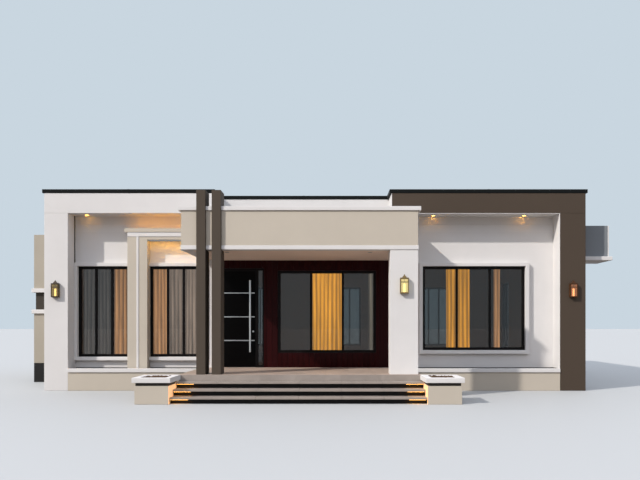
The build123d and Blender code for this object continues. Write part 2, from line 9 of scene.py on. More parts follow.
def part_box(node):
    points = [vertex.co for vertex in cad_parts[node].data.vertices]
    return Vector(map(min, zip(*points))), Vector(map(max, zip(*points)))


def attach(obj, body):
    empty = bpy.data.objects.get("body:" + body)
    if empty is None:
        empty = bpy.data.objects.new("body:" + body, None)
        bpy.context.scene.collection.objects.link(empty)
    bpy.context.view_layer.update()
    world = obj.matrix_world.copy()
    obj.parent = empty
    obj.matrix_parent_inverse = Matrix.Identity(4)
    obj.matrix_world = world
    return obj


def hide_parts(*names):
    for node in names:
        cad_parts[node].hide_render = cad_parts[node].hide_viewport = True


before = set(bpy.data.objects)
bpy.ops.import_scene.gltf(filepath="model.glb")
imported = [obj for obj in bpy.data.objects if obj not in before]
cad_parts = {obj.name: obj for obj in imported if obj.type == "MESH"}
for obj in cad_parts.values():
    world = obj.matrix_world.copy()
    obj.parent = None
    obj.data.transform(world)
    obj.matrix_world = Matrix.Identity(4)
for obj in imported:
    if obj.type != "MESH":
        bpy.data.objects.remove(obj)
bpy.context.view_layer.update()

bl_info = {
    "name": "Flat-roofed bungalow",
    "version": (1, 0, 0),
    "blender": (4, 5, 0),
    "location": "3D View > Sidebar > Bungalow",
    "description": "Finishes, joinery, lamps and curtains of a single-storey flat-roofed house",
    "category": "Add Mesh",
}

HOUSE = "house"
DOOR = "front_door"
WELD = 0.0001
UP = Vector((0, 0, 1))
# Widths of the rounded edges of thin sheet, of small parts and of stouter ones
SHEET_EDGE, SMALL_EDGE, STOUT_EDGE = 0.001, 0.002, 0.003


def linear(colour):
    """An sRGB hex colour as linear red, green, blue and alpha."""
    channels = [int(colour[i:i + 2], 16) / 255 for i in (0, 2, 4)]
    return [c / 12.92 if c <= 0.04045 else ((c + 0.055) / 1.055) ** 2.4 for c in channels] + [1.0]


def darker(colour, share):
    """A linear colour with its light cut to a share."""
    return [c * share for c in colour[:3]] + [1.0]


def colour_property(name, description, colour):
    """A colour that a user can set, from its sRGB hex value."""
    return bpy.props.FloatVectorProperty(name=name, description=description, subtype="COLOR", size=4,
                                         min=0, max=1, default=linear(colour))


def length_property(name, description, metres):
    """A length that a user can set."""
    return bpy.props.FloatProperty(name=name, description=description, default=metres, min=0, unit="LENGTH")


class HouseColours(bpy.types.PropertyGroup):
    """Colours of the house's finishes."""

    white: colour_property("White render", "Masonry paint of the walls and bands", "DCDAD9")
    beige: colour_property("Beige render", "Masonry paint of the fascia and portal", "C3BAAC")
    brown: colour_property("Brown render", "Masonry paint of the right frame", "483C31")
    fin: colour_property("Fin render", "Masonry paint of the twin fins", "4A4036")
    bay: colour_property("Bay render", "Masonry paint of the left bay", "ABA395")
    band: colour_property("Bay band", "Masonry paint of the bay's recessed band", "3A342D")
    grey: colour_property("Grey render", "Masonry paint of the side canopy", "7C8186")
    neck: colour_property("Planter neck", "Dark masonry paint under the planter caps", "3A3632")
    plinth: colour_property("Plinth", "Bitumen paint of the foundation", "121010")
    ceiling: colour_property("Porch ceiling", "Emulsion of the porch ceiling", "F2DCCB")
    coping: colour_property("Coping", "Coated sheet on the parapets", "191B1B")
    cladding: colour_property("Cladding", "Stained boards behind the porch", "2E0608")
    joinery: colour_property("Window frames", "Powder coat of the window frames", "0F0C0C")
    door: colour_property("Front door", "Lacquer of the door leaf", "040303")
    stone: colour_property("Step stone", "Honed stone of the treads", "9C928A")
    porch: colour_property("Porch tiles", "Porcelain tiles of the porch", "B6A395")
    warm_cloth: colour_property("Warm curtains", "Orange curtains", "DB9024")
    rust_cloth: colour_property("Rust curtains", "Rust curtains of the left wing", "C98C5A")
    sheer_cloth: colour_property("Sheer curtains", "Grey net curtains", "8B7C74")
    rose_cloth: colour_property("Rose curtain", "Rosy net curtain", "A88C7A")
    cream_cloth: colour_property("Cream curtain", "Narrow cream curtain", "C9B299")
    glow: colour_property("Lamp light", "Colour of the warm lamps", "FFC25A")


class HouseSizes(bpy.types.PropertyGroup):
    """Sizes of what is fitted to the house."""

    arris: length_property("Arris", "Radius of the rendered edges", 0.008)
    board: length_property("Board", "Width of a cladding board", 0.145)
    board_gap: length_property("Board gap", "Shadow gap between two boards", 0.006)
    board_depth: length_property("Board depth", "Thickness of a cladding board", 0.014)
    tile: length_property("Tile", "Side of a porch tile", 0.6)
    joint: length_property("Joint", "Joint between tiles and stone slabs", 0.004)
    slab: length_property("Tread slab", "Length of one stone of a tread", 0.97)
    bead: length_property("Glazing bead", "Width of the bead round a pane", 0.006)
    bead_depth: length_property("Bead depth", "Depth of the bead round a pane", 0.044)
    fold: length_property("Fold", "Width of one curtain fold", 0.105)
    strap: length_property("Strap", "Width of a coping strap", 0.06)
    strap_pitch: length_property("Strap pitch", "Distance between coping straps", 2.4)
    clod: length_property("Clod", "Mean size of a clod of soil", 0.022)
    roll: length_property("Roll", "Width of a roll of roofing felt", 1.0)


def chosen(context):
    """The colours and sizes that are set in the scene."""
    return context.scene.bungalow_colours, context.scene.bungalow_sizes


def feed(node, inputs):
    """Sets a node's inputs, each to a value of its own or from another node's output."""
    for key, value in inputs.items():
        if isinstance(value, bpy.types.NodeSocket):
            node.id_data.links.new(value, node.inputs[key])
        else:
            node.inputs[key].default_value = value


def add_node(tree, kind, inputs=None, **settings):
    """Adds one node with its settings and with what feeds its inputs."""
    node = tree.nodes.new(kind)
    for key, value in settings.items():
        setattr(node, key, value)
    feed(node, inputs or {})
    return node


def new_material(name):
    """A new material with its tree, its shader and the object coordinates."""
    material = bpy.data.materials.new(name)
    material.use_nodes = True
    tree = material.node_tree
    tree.nodes.clear()
    shader = add_node(tree, "ShaderNodeBsdfPrincipled")
    add_node(tree, "ShaderNodeOutputMaterial", {"Surface": shader.outputs[0]})
    return material, tree, shader, add_node(tree, "ShaderNodeTexCoord").outputs["Object"]


def painted_render(name, colour, band=None):
    """Sand and cement render, floated by hand, under two coats of masonry paint.

    The float leaves soft waves half a metre broad and the sand a fine grain, and the paint dries a
    little unevenly, in patches a metre wide. The 1 mm sand grain is drawn 9 mm coarse, because the
    real one is too fine to show.
    A band is a lowest and highest level with a colour of its own.
    """
    material, tree, shader, at = new_material(name)
    waves = add_node(tree, "ShaderNodeTexNoise", {"Vector": at, "Scale": 2.2, "Detail": 3.0})
    sand = add_node(tree, "ShaderNodeTexNoise", {"Vector": at, "Scale": 110.0, "Detail": 2.0})
    patches = add_node(tree, "ShaderNodeTexNoise",
                       {"Vector": at, "Scale": 0.9, "Detail": 5.0, "Roughness": 0.6})
    share = add_node(tree, "ShaderNodeMapRange",
                     {"Value": patches.outputs["Fac"], "From Min": 0.3, "From Max": 0.7})
    paint = add_node(tree, "ShaderNodeMix", {0: share.outputs[0], 6: darker(colour, 0.94), 7: colour},
                     data_type="RGBA")
    if band:
        low, high, band_colour = band
        level = add_node(tree, "ShaderNodeSeparateXYZ", {0: at}).outputs[2]
        over = add_node(tree, "ShaderNodeMath", {0: level, 1: low}, operation="GREATER_THAN")
        under = add_node(tree, "ShaderNodeMath", {0: level, 1: high}, operation="LESS_THAN")
        inside = add_node(tree, "ShaderNodeMath", {0: over.outputs[0], 1: under.outputs[0]},
                          operation="MULTIPLY")
        paint = add_node(tree, "ShaderNodeMix",
                         {0: inside.outputs[0], 6: paint.outputs[2], 7: band_colour}, data_type="RGBA")
    floated = add_node(tree, "ShaderNodeBump",
                       {"Height": waves.outputs["Fac"], "Distance": 0.006, "Strength": 0.5})
    sanded = add_node(tree, "ShaderNodeBump", {"Height": sand.outputs["Fac"], "Distance": 0.0012,
                                               "Strength": 0.5, "Normal": floated.outputs[0]})
    feed(shader, {"Base Color": paint.outputs[2], "Roughness": 0.82, "IOR": 1.45,
                  "Normal": sanded.outputs[0]})
    return material


def topped_slab(name, top, side):
    """A slab painted on its sides, with tile or screed on top, dull under patches of dust.

    Its grain is 17 mm coarse and the patches of dust are over a metre wide.
    """
    material, tree, shader, at = new_material(name)
    grain = add_node(tree, "ShaderNodeTexNoise", {"Vector": at, "Scale": 60.0, "Detail": 4.0})
    dust = add_node(tree, "ShaderNodeTexNoise", {"Vector": at, "Scale": 0.7, "Detail": 4.0})
    normal = add_node(tree, "ShaderNodeNewGeometry").outputs["Normal"]
    rise = add_node(tree, "ShaderNodeSeparateXYZ", {0: normal}).outputs[2]
    upward = add_node(tree, "ShaderNodeMath", {0: rise, 1: 0.5}, operation="GREATER_THAN")
    dusty = add_node(tree, "ShaderNodeMix", {0: dust.outputs["Fac"], 6: darker(top, 0.8), 7: top},
                     data_type="RGBA")
    paint = add_node(tree, "ShaderNodeMix", {0: upward.outputs[0], 6: side, 7: dusty.outputs[2]},
                     data_type="RGBA")
    bump = add_node(tree, "ShaderNodeBump",
                    {"Height": grain.outputs["Fac"], "Distance": 0.002, "Strength": 0.5})
    feed(shader, {"Base Color": paint.outputs[2], "Roughness": 0.86, "Normal": bump.outputs[0]})
    return material


def powder_coat(name, colour, roughness=0.42, shine=0.25):
    """Polyester powder baked on aluminium: a satin skin with a faint orange peel.

    The peel's 2 mm dimples are drawn 5 mm wide so that they show.
    """
    material, tree, shader, at = new_material(name)
    peel = add_node(tree, "ShaderNodeTexNoise", {"Vector": at, "Scale": 200.0, "Detail": 1.0})
    dust = add_node(tree, "ShaderNodeTexNoise", {"Vector": at, "Scale": 1.6, "Detail": 6.0})
    tint = add_node(tree, "ShaderNodeMix", {0: dust.outputs["Fac"], 6: darker(colour, 0.82), 7: colour},
                    data_type="RGBA")
    bump = add_node(tree, "ShaderNodeBump",
                    {"Height": peel.outputs["Fac"], "Distance": 0.0005, "Strength": 0.4})
    feed(shader, {"Base Color": tint.outputs[2], "Roughness": roughness, "IOR": 1.5,
                  "Specular IOR Level": shine, "Normal": bump.outputs[0]})
    return material


def lot_of_each(tree, at, corner, size):
    """A value of its own for each board, tile or slab of one size, counted from a corner."""
    counted = add_node(tree, "ShaderNodeMapping", {"Vector": at, "Location": corner, "Scale": size},
                       vector_type="TEXTURE")
    number = add_node(tree, "ShaderNodeVectorMath", {0: counted.outputs[0]}, operation="FLOOR")
    return add_node(tree, "ShaderNodeTexWhiteNoise", {"Vector": number.outputs[0]}).outputs["Value"]


def stained_board(name, colour, corner, board):
    """Hardwood boards under dark red stain and oil: long grain, each board a shade of its own.

    The grain runs in streaks 40 mm wide and 0.8 m long, with finer ones in them.
    """
    material, tree, shader, at = new_material(name)
    along = add_node(tree, "ShaderNodeMapping", {"Vector": at, "Scale": (26.0, 26.0, 1.3)})
    grain = add_node(tree, "ShaderNodeTexNoise", {"Vector": along.outputs[0], "Scale": 1.0,
                                                  "Detail": 8.0, "Distortion": 0.8}).outputs["Fac"]
    lot = add_node(tree, "ShaderNodeMapRange",
                   {"Value": lot_of_each(tree, at, corner, board), "To Min": 0.15, "To Max": 0.5})
    mixed = add_node(tree, "ShaderNodeMath", {0: grain, 1: 0.5, 2: lot.outputs[0]},
                     operation="MULTIPLY_ADD")
    stain = add_node(tree, "ShaderNodeMix", {0: mixed.outputs[0], 6: darker(colour, 0.45), 7: colour},
                     data_type="RGBA")
    bump = add_node(tree, "ShaderNodeBump", {"Height": grain, "Distance": 0.0015, "Strength": 0.5})
    feed(shader, {"Base Color": stain.outputs[2], "Roughness": 0.48, "IOR": 1.48,
                  "Specular IOR Level": 0.1, "Normal": bump.outputs[0]})
    return material


def door_lacquer(name, colour):
    """Sprayed polyurethane lacquer on the door: satin black, with the faint grain of its veneer.

    The veneer's pores are 3 mm wide and 50 mm long.
    """
    material, tree, shader, at = new_material(name)
    along = add_node(tree, "ShaderNodeMapping", {"Vector": at, "Scale": (60.0, 60.0, 4.0)})
    veneer = add_node(tree, "ShaderNodeTexNoise",
                      {"Vector": along.outputs[0], "Scale": 5.0, "Detail": 6.0}).outputs["Fac"]
    satin = add_node(tree, "ShaderNodeMapRange", {"Value": veneer, "To Min": 0.27, "To Max": 0.42})
    bump = add_node(tree, "ShaderNodeBump", {"Height": veneer, "Distance": 0.0004, "Strength": 0.5})
    feed(shader, {"Base Color": colour, "Roughness": satin.outputs[0], "IOR": 1.5,
                  "Specular IOR Level": 0.06, "Normal": bump.outputs[0]})
    return material


def brushed_steel(name, stretch, colour):
    """Stainless steel brushed one way: fine scratches along the stretch blur what it mirrors.

    The 0.2 mm scratches are drawn 2.5 mm wide so that they show. The stretch is how many of them
    lie in a metre along each axis.
    """
    material, tree, shader, at = new_material(name)
    along = add_node(tree, "ShaderNodeMapping", {"Vector": at, "Scale": stretch})
    scratches = add_node(tree, "ShaderNodeTexNoise",
                         {"Vector": along.outputs[0], "Scale": 1.0, "Detail": 4.0}).outputs["Fac"]
    blur = add_node(tree, "ShaderNodeMapRange", {"Value": scratches, "To Min": 0.2, "To Max": 0.42})
    bump = add_node(tree, "ShaderNodeBump", {"Height": scratches, "Distance": 0.0002, "Strength": 0.3})
    feed(shader, {"Metallic": 1.0, "Base Color": colour, "Roughness": blur.outputs[0],
                  "Normal": bump.outputs[0]})
    return material


def honed_stone(name, colour, tile, corner):
    """Stone slabs sawn and honed: fine dark and pale grit, and each slab a little different.

    The grit is 3 to 6 mm across, and tile is one slab's size, counted from a corner.
    """
    material, tree, shader, at = new_material(name)
    grit = add_node(tree, "ShaderNodeTexVoronoi", {"Vector": at, "Scale": 190.0})
    veins = add_node(tree, "ShaderNodeTexNoise",
                     {"Vector": at, "Scale": 3.0, "Detail": 9.0, "Distortion": 0.6}).outputs["Fac"]
    specks = add_node(tree, "ShaderNodeMath", {0: grit.outputs["Distance"], 1: 0.45, 2: veins},
                      operation="MULTIPLY_ADD").outputs[0]
    shade = add_node(tree, "ShaderNodeMath", {0: lot_of_each(tree, at, corner, tile), 1: 0.35, 2: specks},
                     operation="MULTIPLY_ADD")
    share = add_node(tree, "ShaderNodeMapRange",
                     {"Value": shade.outputs[0], "From Min": 0.45, "From Max": 1.2})
    paint = add_node(tree, "ShaderNodeMix", {0: share.outputs[0], 6: darker(colour, 0.72), 7: colour},
                     data_type="RGBA")
    polish = add_node(tree, "ShaderNodeMapRange", {"Value": veins, "To Min": 0.38, "To Max": 0.58})
    bump = add_node(tree, "ShaderNodeBump", {"Height": specks, "Distance": 0.0008, "Strength": 0.4})
    feed(shader, {"Base Color": paint.outputs[2], "Roughness": polish.outputs[0], "IOR": 1.5,
                  "Normal": bump.outputs[0]})
    return material


def float_glass(name, colour, roughness=0.0, glow=0.0):
    """Float glass with its faint roller waves, 0.7 m apart; rough where etched, glowing where lit."""
    material, tree, shader, at = new_material(name)
    rollers = add_node(tree, "ShaderNodeTexNoise", {"Vector": at, "Scale": 1.4, "Detail": 1.0})
    bump = add_node(tree, "ShaderNodeBump",
                    {"Height": rollers.outputs["Fac"], "Distance": 0.001, "Strength": 0.25})
    feed(shader, {"Base Color": colour, "Roughness": roughness, "IOR": 1.52, "Transmission Weight": 1.0,
                  "Specular IOR Level": 0.3, "Emission Color": colour, "Emission Strength": glow,
                  "Normal": bump.outputs[0]})
    return material


def lit_cloth(name, colour, glow, depth):
    """Woven polyester voile whose own glow is painted light, standing in for the room's lamps behind it.

    Threads are 0.4 mm apart and drawn 4 mm apart; the piece's UV map is in metres along the cloth.
    The depth is where the folds' painted shade starts and ends behind the wall's face, brightest in front.
    """
    material, tree, shader, at = new_material(name)
    cloth = add_node(tree, "ShaderNodeUVMap", uv_map="cloth").outputs[0]
    threads = add_node(tree, "ShaderNodeTexWave", {"Vector": cloth, "Scale": 80.0, "Distortion": 1.5,
                                                   "Detail": 2.0}).outputs["Fac"]
    along = add_node(tree, "ShaderNodeMapping", {"Vector": cloth, "Scale": (7.0, 0.5, 1.0)})
    drift = add_node(tree, "ShaderNodeTexNoise", {"Vector": along.outputs[0], "Scale": 1.0, "Detail": 3.0})
    weave = add_node(tree, "ShaderNodeMath", {0: threads, 1: 0.25, 2: drift.outputs["Fac"]},
                     operation="MULTIPLY_ADD")
    tone = add_node(tree, "ShaderNodeMapRange",
                    {"Value": weave.outputs[0], "From Min": 0.3, "From Max": 0.9})
    # Painted shade: the further back a fold lies, the darker it is
    behind = add_node(tree, "ShaderNodeSeparateXYZ", {0: at}).outputs[1]
    fold = add_node(tree, "ShaderNodeMapRange", {"Value": behind, "From Min": depth[0],
                                                 "From Max": depth[1], "To Min": 1.0, "To Max": 0.1})
    shade = add_node(tree, "ShaderNodeMath", {0: tone.outputs[0], 1: fold.outputs[0]},
                     operation="MULTIPLY")
    dyed_and_shaded = add_node(tree, "ShaderNodeMix", {0: shade.outputs[0], 6: darker(colour, 0.14), 7: colour},
                    data_type="RGBA").outputs[2]
    bump = add_node(tree, "ShaderNodeBump", {"Height": threads, "Distance": 0.0005, "Strength": 0.4})
    # The emission is painted light from the room's lamps behind the cloth
    feed(shader, {"Base Color": dyed_and_shaded, "Roughness": 0.85, "Sheen Weight": 0.3, "Sheen Roughness": 0.5,
                  "Emission Color": dyed_and_shaded, "Emission Strength": glow, "Normal": bump.outputs[0]})
    return material


def garden_soil(name):
    """Damp topsoil: near-black crumbs, 18 mm coarse, with drier, paler ones on top."""
    material, tree, shader, at = new_material(name)
    crumbs = add_node(tree, "ShaderNodeTexVoronoi", {"Vector": at, "Scale": 55.0}).outputs["Distance"]
    damp = add_node(tree, "ShaderNodeTexNoise", {"Vector": at, "Scale": 5.0, "Detail": 6.0})
    mixed = add_node(tree, "ShaderNodeMath", {0: crumbs, 1: 0.5, 2: damp.outputs["Fac"]},
                     operation="MULTIPLY_ADD")
    tone = add_node(tree, "ShaderNodeMix", {0: mixed.outputs[0], 6: linear("2A1E16"), 7: linear("5E4733")},
                    data_type="RGBA")
    bump = add_node(tree, "ShaderNodeBump", {"Height": crumbs, "Distance": 0.006, "Strength": 0.9})
    feed(shader, {"Base Color": tone.outputs[2], "Roughness": 0.95, "Normal": bump.outputs[0]})
    return material


def roofing_felt(name):
    """Torched bitumen felt with a slate-grey mineral chip face, 1 mm chips drawn 6 mm wide."""
    material, tree, shader, at = new_material(name)
    chips = add_node(tree, "ShaderNodeTexVoronoi", {"Vector": at, "Scale": 160.0}).outputs["Distance"]
    stains = add_node(tree, "ShaderNodeTexNoise", {"Vector": at, "Scale": 0.8, "Detail": 7.0})
    mixed = add_node(tree, "ShaderNodeMath", {0: chips, 1: 0.35, 2: stains.outputs["Fac"]},
                     operation="MULTIPLY_ADD")
    tone = add_node(tree, "ShaderNodeMix", {0: mixed.outputs[0], 6: linear("5A5C5E"), 7: linear("8B8D8E")},
                    data_type="RGBA")
    bump = add_node(tree, "ShaderNodeBump", {"Height": chips, "Distance": 0.001, "Strength": 0.6})
    feed(shader, {"Base Color": tone.outputs[2], "Roughness": 0.92, "Normal": bump.outputs[0]})
    return material


def lamp_diffuser(name, colour, strength):
    """Opal polycarbonate over warm diodes, moulded with soft ripples 17 mm wide."""
    material, tree, shader, at = new_material(name)
    ripples = add_node(tree, "ShaderNodeTexNoise", {"Vector": at, "Scale": 60.0, "Detail": 2.0})
    bump = add_node(tree, "ShaderNodeBump",
                    {"Height": ripples.outputs["Fac"], "Distance": 0.0004, "Strength": 0.3})
    feed(shader, {"Base Color": colour, "Roughness": 0.5, "Emission Color": colour,
                  "Emission Strength": strength, "Normal": bump.outputs[0]})
    return material


def choose(*pieces):
    """Selects only these pieces and makes the first one active."""
    bpy.ops.object.select_all(action="DESELECT")
    for piece in pieces:
        piece.select_set(True)
    bpy.context.view_layer.objects.active = pieces[0]


def add_primitive(operator, name, scale=(1, 1, 1), **settings):
    """Adds a primitive by its operator, and moves its place and size into its mesh."""
    bpy.ops.object.select_all(action="DESELECT")
    operator(**settings)
    piece = bpy.context.object
    piece.name, piece.scale = name, scale
    choose(piece)
    bpy.ops.object.transform_apply(location=True, rotation=True, scale=True)
    return piece


def add_block(low, high, name="block"):
    """A box between two corners."""
    low, high = Vector(low), Vector(high)
    return add_primitive(bpy.ops.mesh.primitive_cube_add, name, high - low, size=1,
                         location=(low + high) / 2)


def add_rod(start, end, radius, sides=24):
    """A round bar between two points."""
    start, end = Vector(start), Vector(end)
    turn = (end - start).to_track_quat("Z", "Y").to_euler()
    return add_primitive(bpy.ops.mesh.primitive_cylinder_add, "rod", vertices=sides, radius=radius,
                         depth=(end - start).length, location=(start + end) / 2, rotation=turn)


def add_ball(centre, radii, segments=20, rings=12):
    """A ball squashed to three radii."""
    return add_primitive(bpy.ops.mesh.primitive_uv_sphere_add, "ball", radii, segments=segments,
                         ring_count=rings, radius=1, location=centre)


def add_object(name, data):
    """A new object in the scene round a mesh or curve."""
    piece = bpy.data.objects.new(name, data)
    bpy.context.collection.objects.link(piece)
    return piece


def apply_modifier(piece, kind, **settings):
    """Adds one modifier to a piece and applies it."""
    modifier = piece.modifiers.new(kind.title(), kind)
    for key, value in settings.items():
        setattr(modifier, key, value)
    choose(piece)
    bpy.ops.object.modifier_apply(modifier=modifier.name)


def repeat(piece, count, offset):
    """Repeats a piece in a row, each copy an offset on from the last."""
    apply_modifier(piece, "ARRAY", count=count, use_relative_offset=False, use_constant_offset=True,
                   constant_offset_displace=offset)


def smooth(piece, angle=40):
    """Shades a piece smooth except across edges sharper than an angle."""
    choose(piece)
    bpy.ops.object.shade_smooth_by_angle(angle=math.radians(angle))


def ease(piece, width, segments=2):
    """Rounds every sharp edge of a piece."""
    apply_modifier(piece, "BEVEL", width=width, segments=segments, limit_method="ANGLE",
                   angle_limit=math.radians(30))
    smooth(piece)
    apply_modifier(piece, "WEIGHTED_NORMAL", keep_sharp=True)
    return piece


def pick_faces(piece, test=lambda centre, normal: True):
    """Opens a piece for editing, with those faces selected whose centre and normal pass a test."""
    choose(piece)
    bpy.ops.object.mode_set(mode="EDIT")
    bpy.ops.mesh.select_mode(type="FACE")
    bpy.ops.mesh.select_all(action="DESELECT")
    shape = bmesh.from_edit_mesh(piece.data)
    for face in shape.faces:
        face.select_set(test(face.calc_center_median(), face.normal))
    bmesh.update_edit_mesh(piece.data)


def close_edit():
    """Leaves edit mode."""
    bpy.ops.object.mode_set(mode="OBJECT")


def join(name, pieces):
    """Joins pieces into one with a new name."""
    choose(*pieces)
    if len(pieces) > 1:
        bpy.ops.object.join()
    pieces[0].name = name
    return pieces[0]


def tube_through(low, high, axis, thickness):
    """A box between two corners, opened right through along one axis to an even wall."""
    piece = add_block(low, high, "tube")
    pick_faces(piece, lambda centre, normal: abs(normal[axis]) > 0.5)
    bpy.ops.mesh.inset(thickness=thickness, depth=0, use_individual=True)
    bpy.ops.mesh.bridge_edge_loops()
    bpy.ops.mesh.select_all(action="SELECT")
    bpy.ops.mesh.normals_make_consistent(inside=False)
    close_edit()
    return piece


def bent_bar(points, radius):
    """A round bar bent smoothly through a few points."""
    curve = bpy.data.curves.new("bent_bar", "CURVE")
    curve.dimensions = "3D"
    curve.bevel_depth, curve.bevel_resolution, curve.use_fill_caps = radius, 3, True
    line = curve.splines.new("NURBS")
    line.points.add(len(points) - 1)
    for knot, point in zip(line.points, points):
        knot.co = (*point, 1)
    line.order_u, line.resolution_u, line.use_endpoint_u = 3, 6, True
    bar = add_object("bent_bar", curve)
    choose(bar)
    bpy.ops.object.convert(target="MESH")
    smooth(bar)
    return bar


def solids_of(node, axis=0):
    """The lowest and highest corner of each separate solid of a CAD node, in order along an axis."""
    shape = bmesh.new()
    shape.from_mesh(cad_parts[node].data)
    bmesh.ops.remove_doubles(shape, verts=shape.verts, dist=WELD)
    left = set(shape.verts)
    found = []
    while left:
        front = [left.pop()]
        reached = set(front)
        while front:
            for edge in front.pop().link_edges:
                for vert in edge.verts:
                    if vert not in reached:
                        reached.add(vert)
                        front.append(vert)
        left -= reached
        spans = [[vert.co[i] for vert in reached] for i in range(3)]
        found.append((Vector(map(min, spans)), Vector(map(max, spans))))
    shape.free()
    return sorted(found, key=lambda solid: solid[0][axis])


def place(piece, material, slot, *nodes, body=HOUSE):
    """Gives a finished piece its material and body, and hides the CAD nodes it stands for. The slot is not
    used.
    """
    piece.data.materials.clear()
    piece.data.materials.append(material)
    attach(piece, body)
    if nodes:
        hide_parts(*nodes)
    return piece


def coat(node, material):
    """Gives a CAD node's own shape a finish."""
    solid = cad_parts[node]
    for slot in solid.material_slots:
        slot.link = "OBJECT"
        slot.material = material
    if not solid.material_slots:
        solid.data.materials.append(material)


def eased_copy(node, width, material, slot, body=HOUSE):
    """A merged copy of a CAD node with its edges rounded, which stands for it."""
    piece = add_object(node + "_eased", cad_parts[node].data.copy())
    choose(piece)
    bpy.ops.mesh.customdata_custom_splitnormals_clear()
    bpy.ops.object.mode_set(mode="EDIT")
    bpy.ops.mesh.select_all(action="SELECT")
    bpy.ops.mesh.remove_doubles(threshold=WELD)
    bpy.ops.mesh.normals_make_consistent(inside=False)
    close_edit()
    pick_faces(piece)
    bpy.ops.mesh.dissolve_limited(angle_limit=math.radians(1))
    close_edit()
    return place(ease(piece, width), material, slot, node, body=body)


class BUNGALOW_OT_masonry(bpy.types.Operator):
    """Renders and paints walls, frames, fins, fascia, bands and portal, and rounds what stands free."""
    bl_idname = "bungalow.masonry"
    bl_label = "Masonry"

    def execute(self, context):
        colours, sizes = chosen(context)
        white, beige, brown, fin, grey = [
            (painted_render(f"{name}_masonry_paint", getattr(colours, name)), f"{slot}_render")
            for name, slot in (("white", "white"), ("beige", "beige"), ("brown", "brown"), ("fin", "brown"),
                               ("grey", "grey"))]
        for node in ("front_wall_left", "porch_wall", "front_wall_right", "door_head_wall",
                     "left_side_wall", "right_side_wall", "back_wall", "parapet_walls"):
            coat(node, white[0])
        ledges = solids_of("bay_ledges", axis=2)
        band = (ledges[0][1].z, ledges[1][0].z, colours.band)
        coat("bay_walls", painted_render("banded_masonry_paint", colours.bay, band))
        coat("porch_ceiling", painted_render("ceiling_emulsion", colours.ceiling))
        coat("planter_necks", painted_render("neck_masonry_paint", colours.neck))
        coat("foundation_plinth", painted_render("bitumen_plinth_paint", colours.plinth))
        coat("floor_slab", topped_slab("glazed_floor_tile", linear("8F8579"), colours.plinth))
        coat("roof_slabs", topped_slab("screeded_roof", linear("8C8C8A"), colours.white))
        for node, (paint, slot) in (
                ("left_frame_pillar", white), ("left_frame_beam", white), ("right_frame_pillar", brown),
                ("right_frame_beam", brown), ("right_frame_lining", white), ("entrance_fins", fin),
                ("porch_fascia", beige), ("edge_trims", white), ("porch_column", white),
                ("side_canopy", grey), ("bay_ledges", white), ("window_surrounds", white),
                ("portal_pier", beige), ("portal_lintel", beige), ("portal_trim", white),
                ("planter_walls", beige), ("planting_caps", white)):
            eased_copy(node, sizes.arris, paint, slot)
        pillar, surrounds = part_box("left_frame_pillar"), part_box("window_surrounds")
        # A dark strip in the corner between the left wall and its frame: painted shade along that corner
        front, back, width = -0.12, -0.05, 0.006
        joint = add_block((pillar[1].x, front, surrounds[1].z), (pillar[1].x + width, back, pillar[1].z),
                          "corner_joint")
        corner_shade_paint = powder_coat("dark_joint_sealant", linear("4A4541"), 0.7, 0.1)
        place(ease(joint, SHEET_EDGE, 1), corner_shade_paint, "black_frame")
        return {"FINISHED"}


def parapet_runs():
    """Each straight run of parapet: its lowest and highest corner in plan, and the axis it follows."""
    left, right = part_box("left_frame_beam"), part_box("right_frame_beam")
    lining_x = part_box("right_frame_lining")[0].x
    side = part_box("left_side_wall")
    wall = side[1].x - side[0].x
    rear, middle = solids_of("parapet_walls")
    return [
        ((left[0].x, left[0].y), (left[1].x, left[1].y), 0),
        ((lining_x, right[0].y), (right[1].x, right[1].y), 0),
        ((rear[0].x, rear[1].y - wall), (rear[1].x, rear[1].y), 0),
        ((rear[0].x, left[1].y), (rear[0].x + wall, rear[1].y), 1),
        ((rear[1].x - wall, left[1].y), (rear[1].x, rear[1].y), 1),
        ((middle[0].x, middle[1].y - wall), (middle[1].x, middle[1].y), 0),
    ]


class BUNGALOW_OT_coping(bpy.types.Operator):
    """Lays coated sheet copings with cover straps over their joints."""
    bl_idname = "bungalow.coping"
    bl_label = "Coping"

    def execute(self, context):
        colours, sizes = chosen(context)
        sheet = powder_coat("coated_coping_sheet", colours.coping, 0.5, 0.06)
        edge, set_in = 0.006, 0.003
        strap_in = set_in / 3
        body = eased_copy("parapet_coping", edge, sheet, "coping_metal")
        pick_faces(body)
        bpy.ops.transform.shrink_fatten(value=-set_in, use_even_offset=True)
        close_edit()
        low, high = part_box("parapet_coping")
        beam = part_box("left_frame_beam")[0]
        side_cover, front_cover = beam.x - low.x - strap_in, beam.y - low.y - strap_in
        straps = []
        for (x0, y0), (x1, y1), axis in parapet_runs():
            start, end = ((x0, x1), (y0, y1))[axis]
            count = max(2, round((end - start) / sizes.strap_pitch))
            for i in range(1, count):
                middle = start + (end - start) * i / count
                ends = [middle - sizes.strap / 2, middle + sizes.strap / 2]
                across = ([y0 - front_cover, y1 + front_cover], [x0 - side_cover, x1 + side_cover])[axis]
                (sx0, sx1), (sy0, sy1) = ((ends, across), (across, ends))[axis]
                straps.append(add_block((sx0, sy0, low.z + strap_in), (sx1, sy1, high.z - strap_in)))
        place(ease(join("coping_straps", straps), SHEET_EDGE, 1), sheet, "coping_metal")
        return {"FINISHED"}


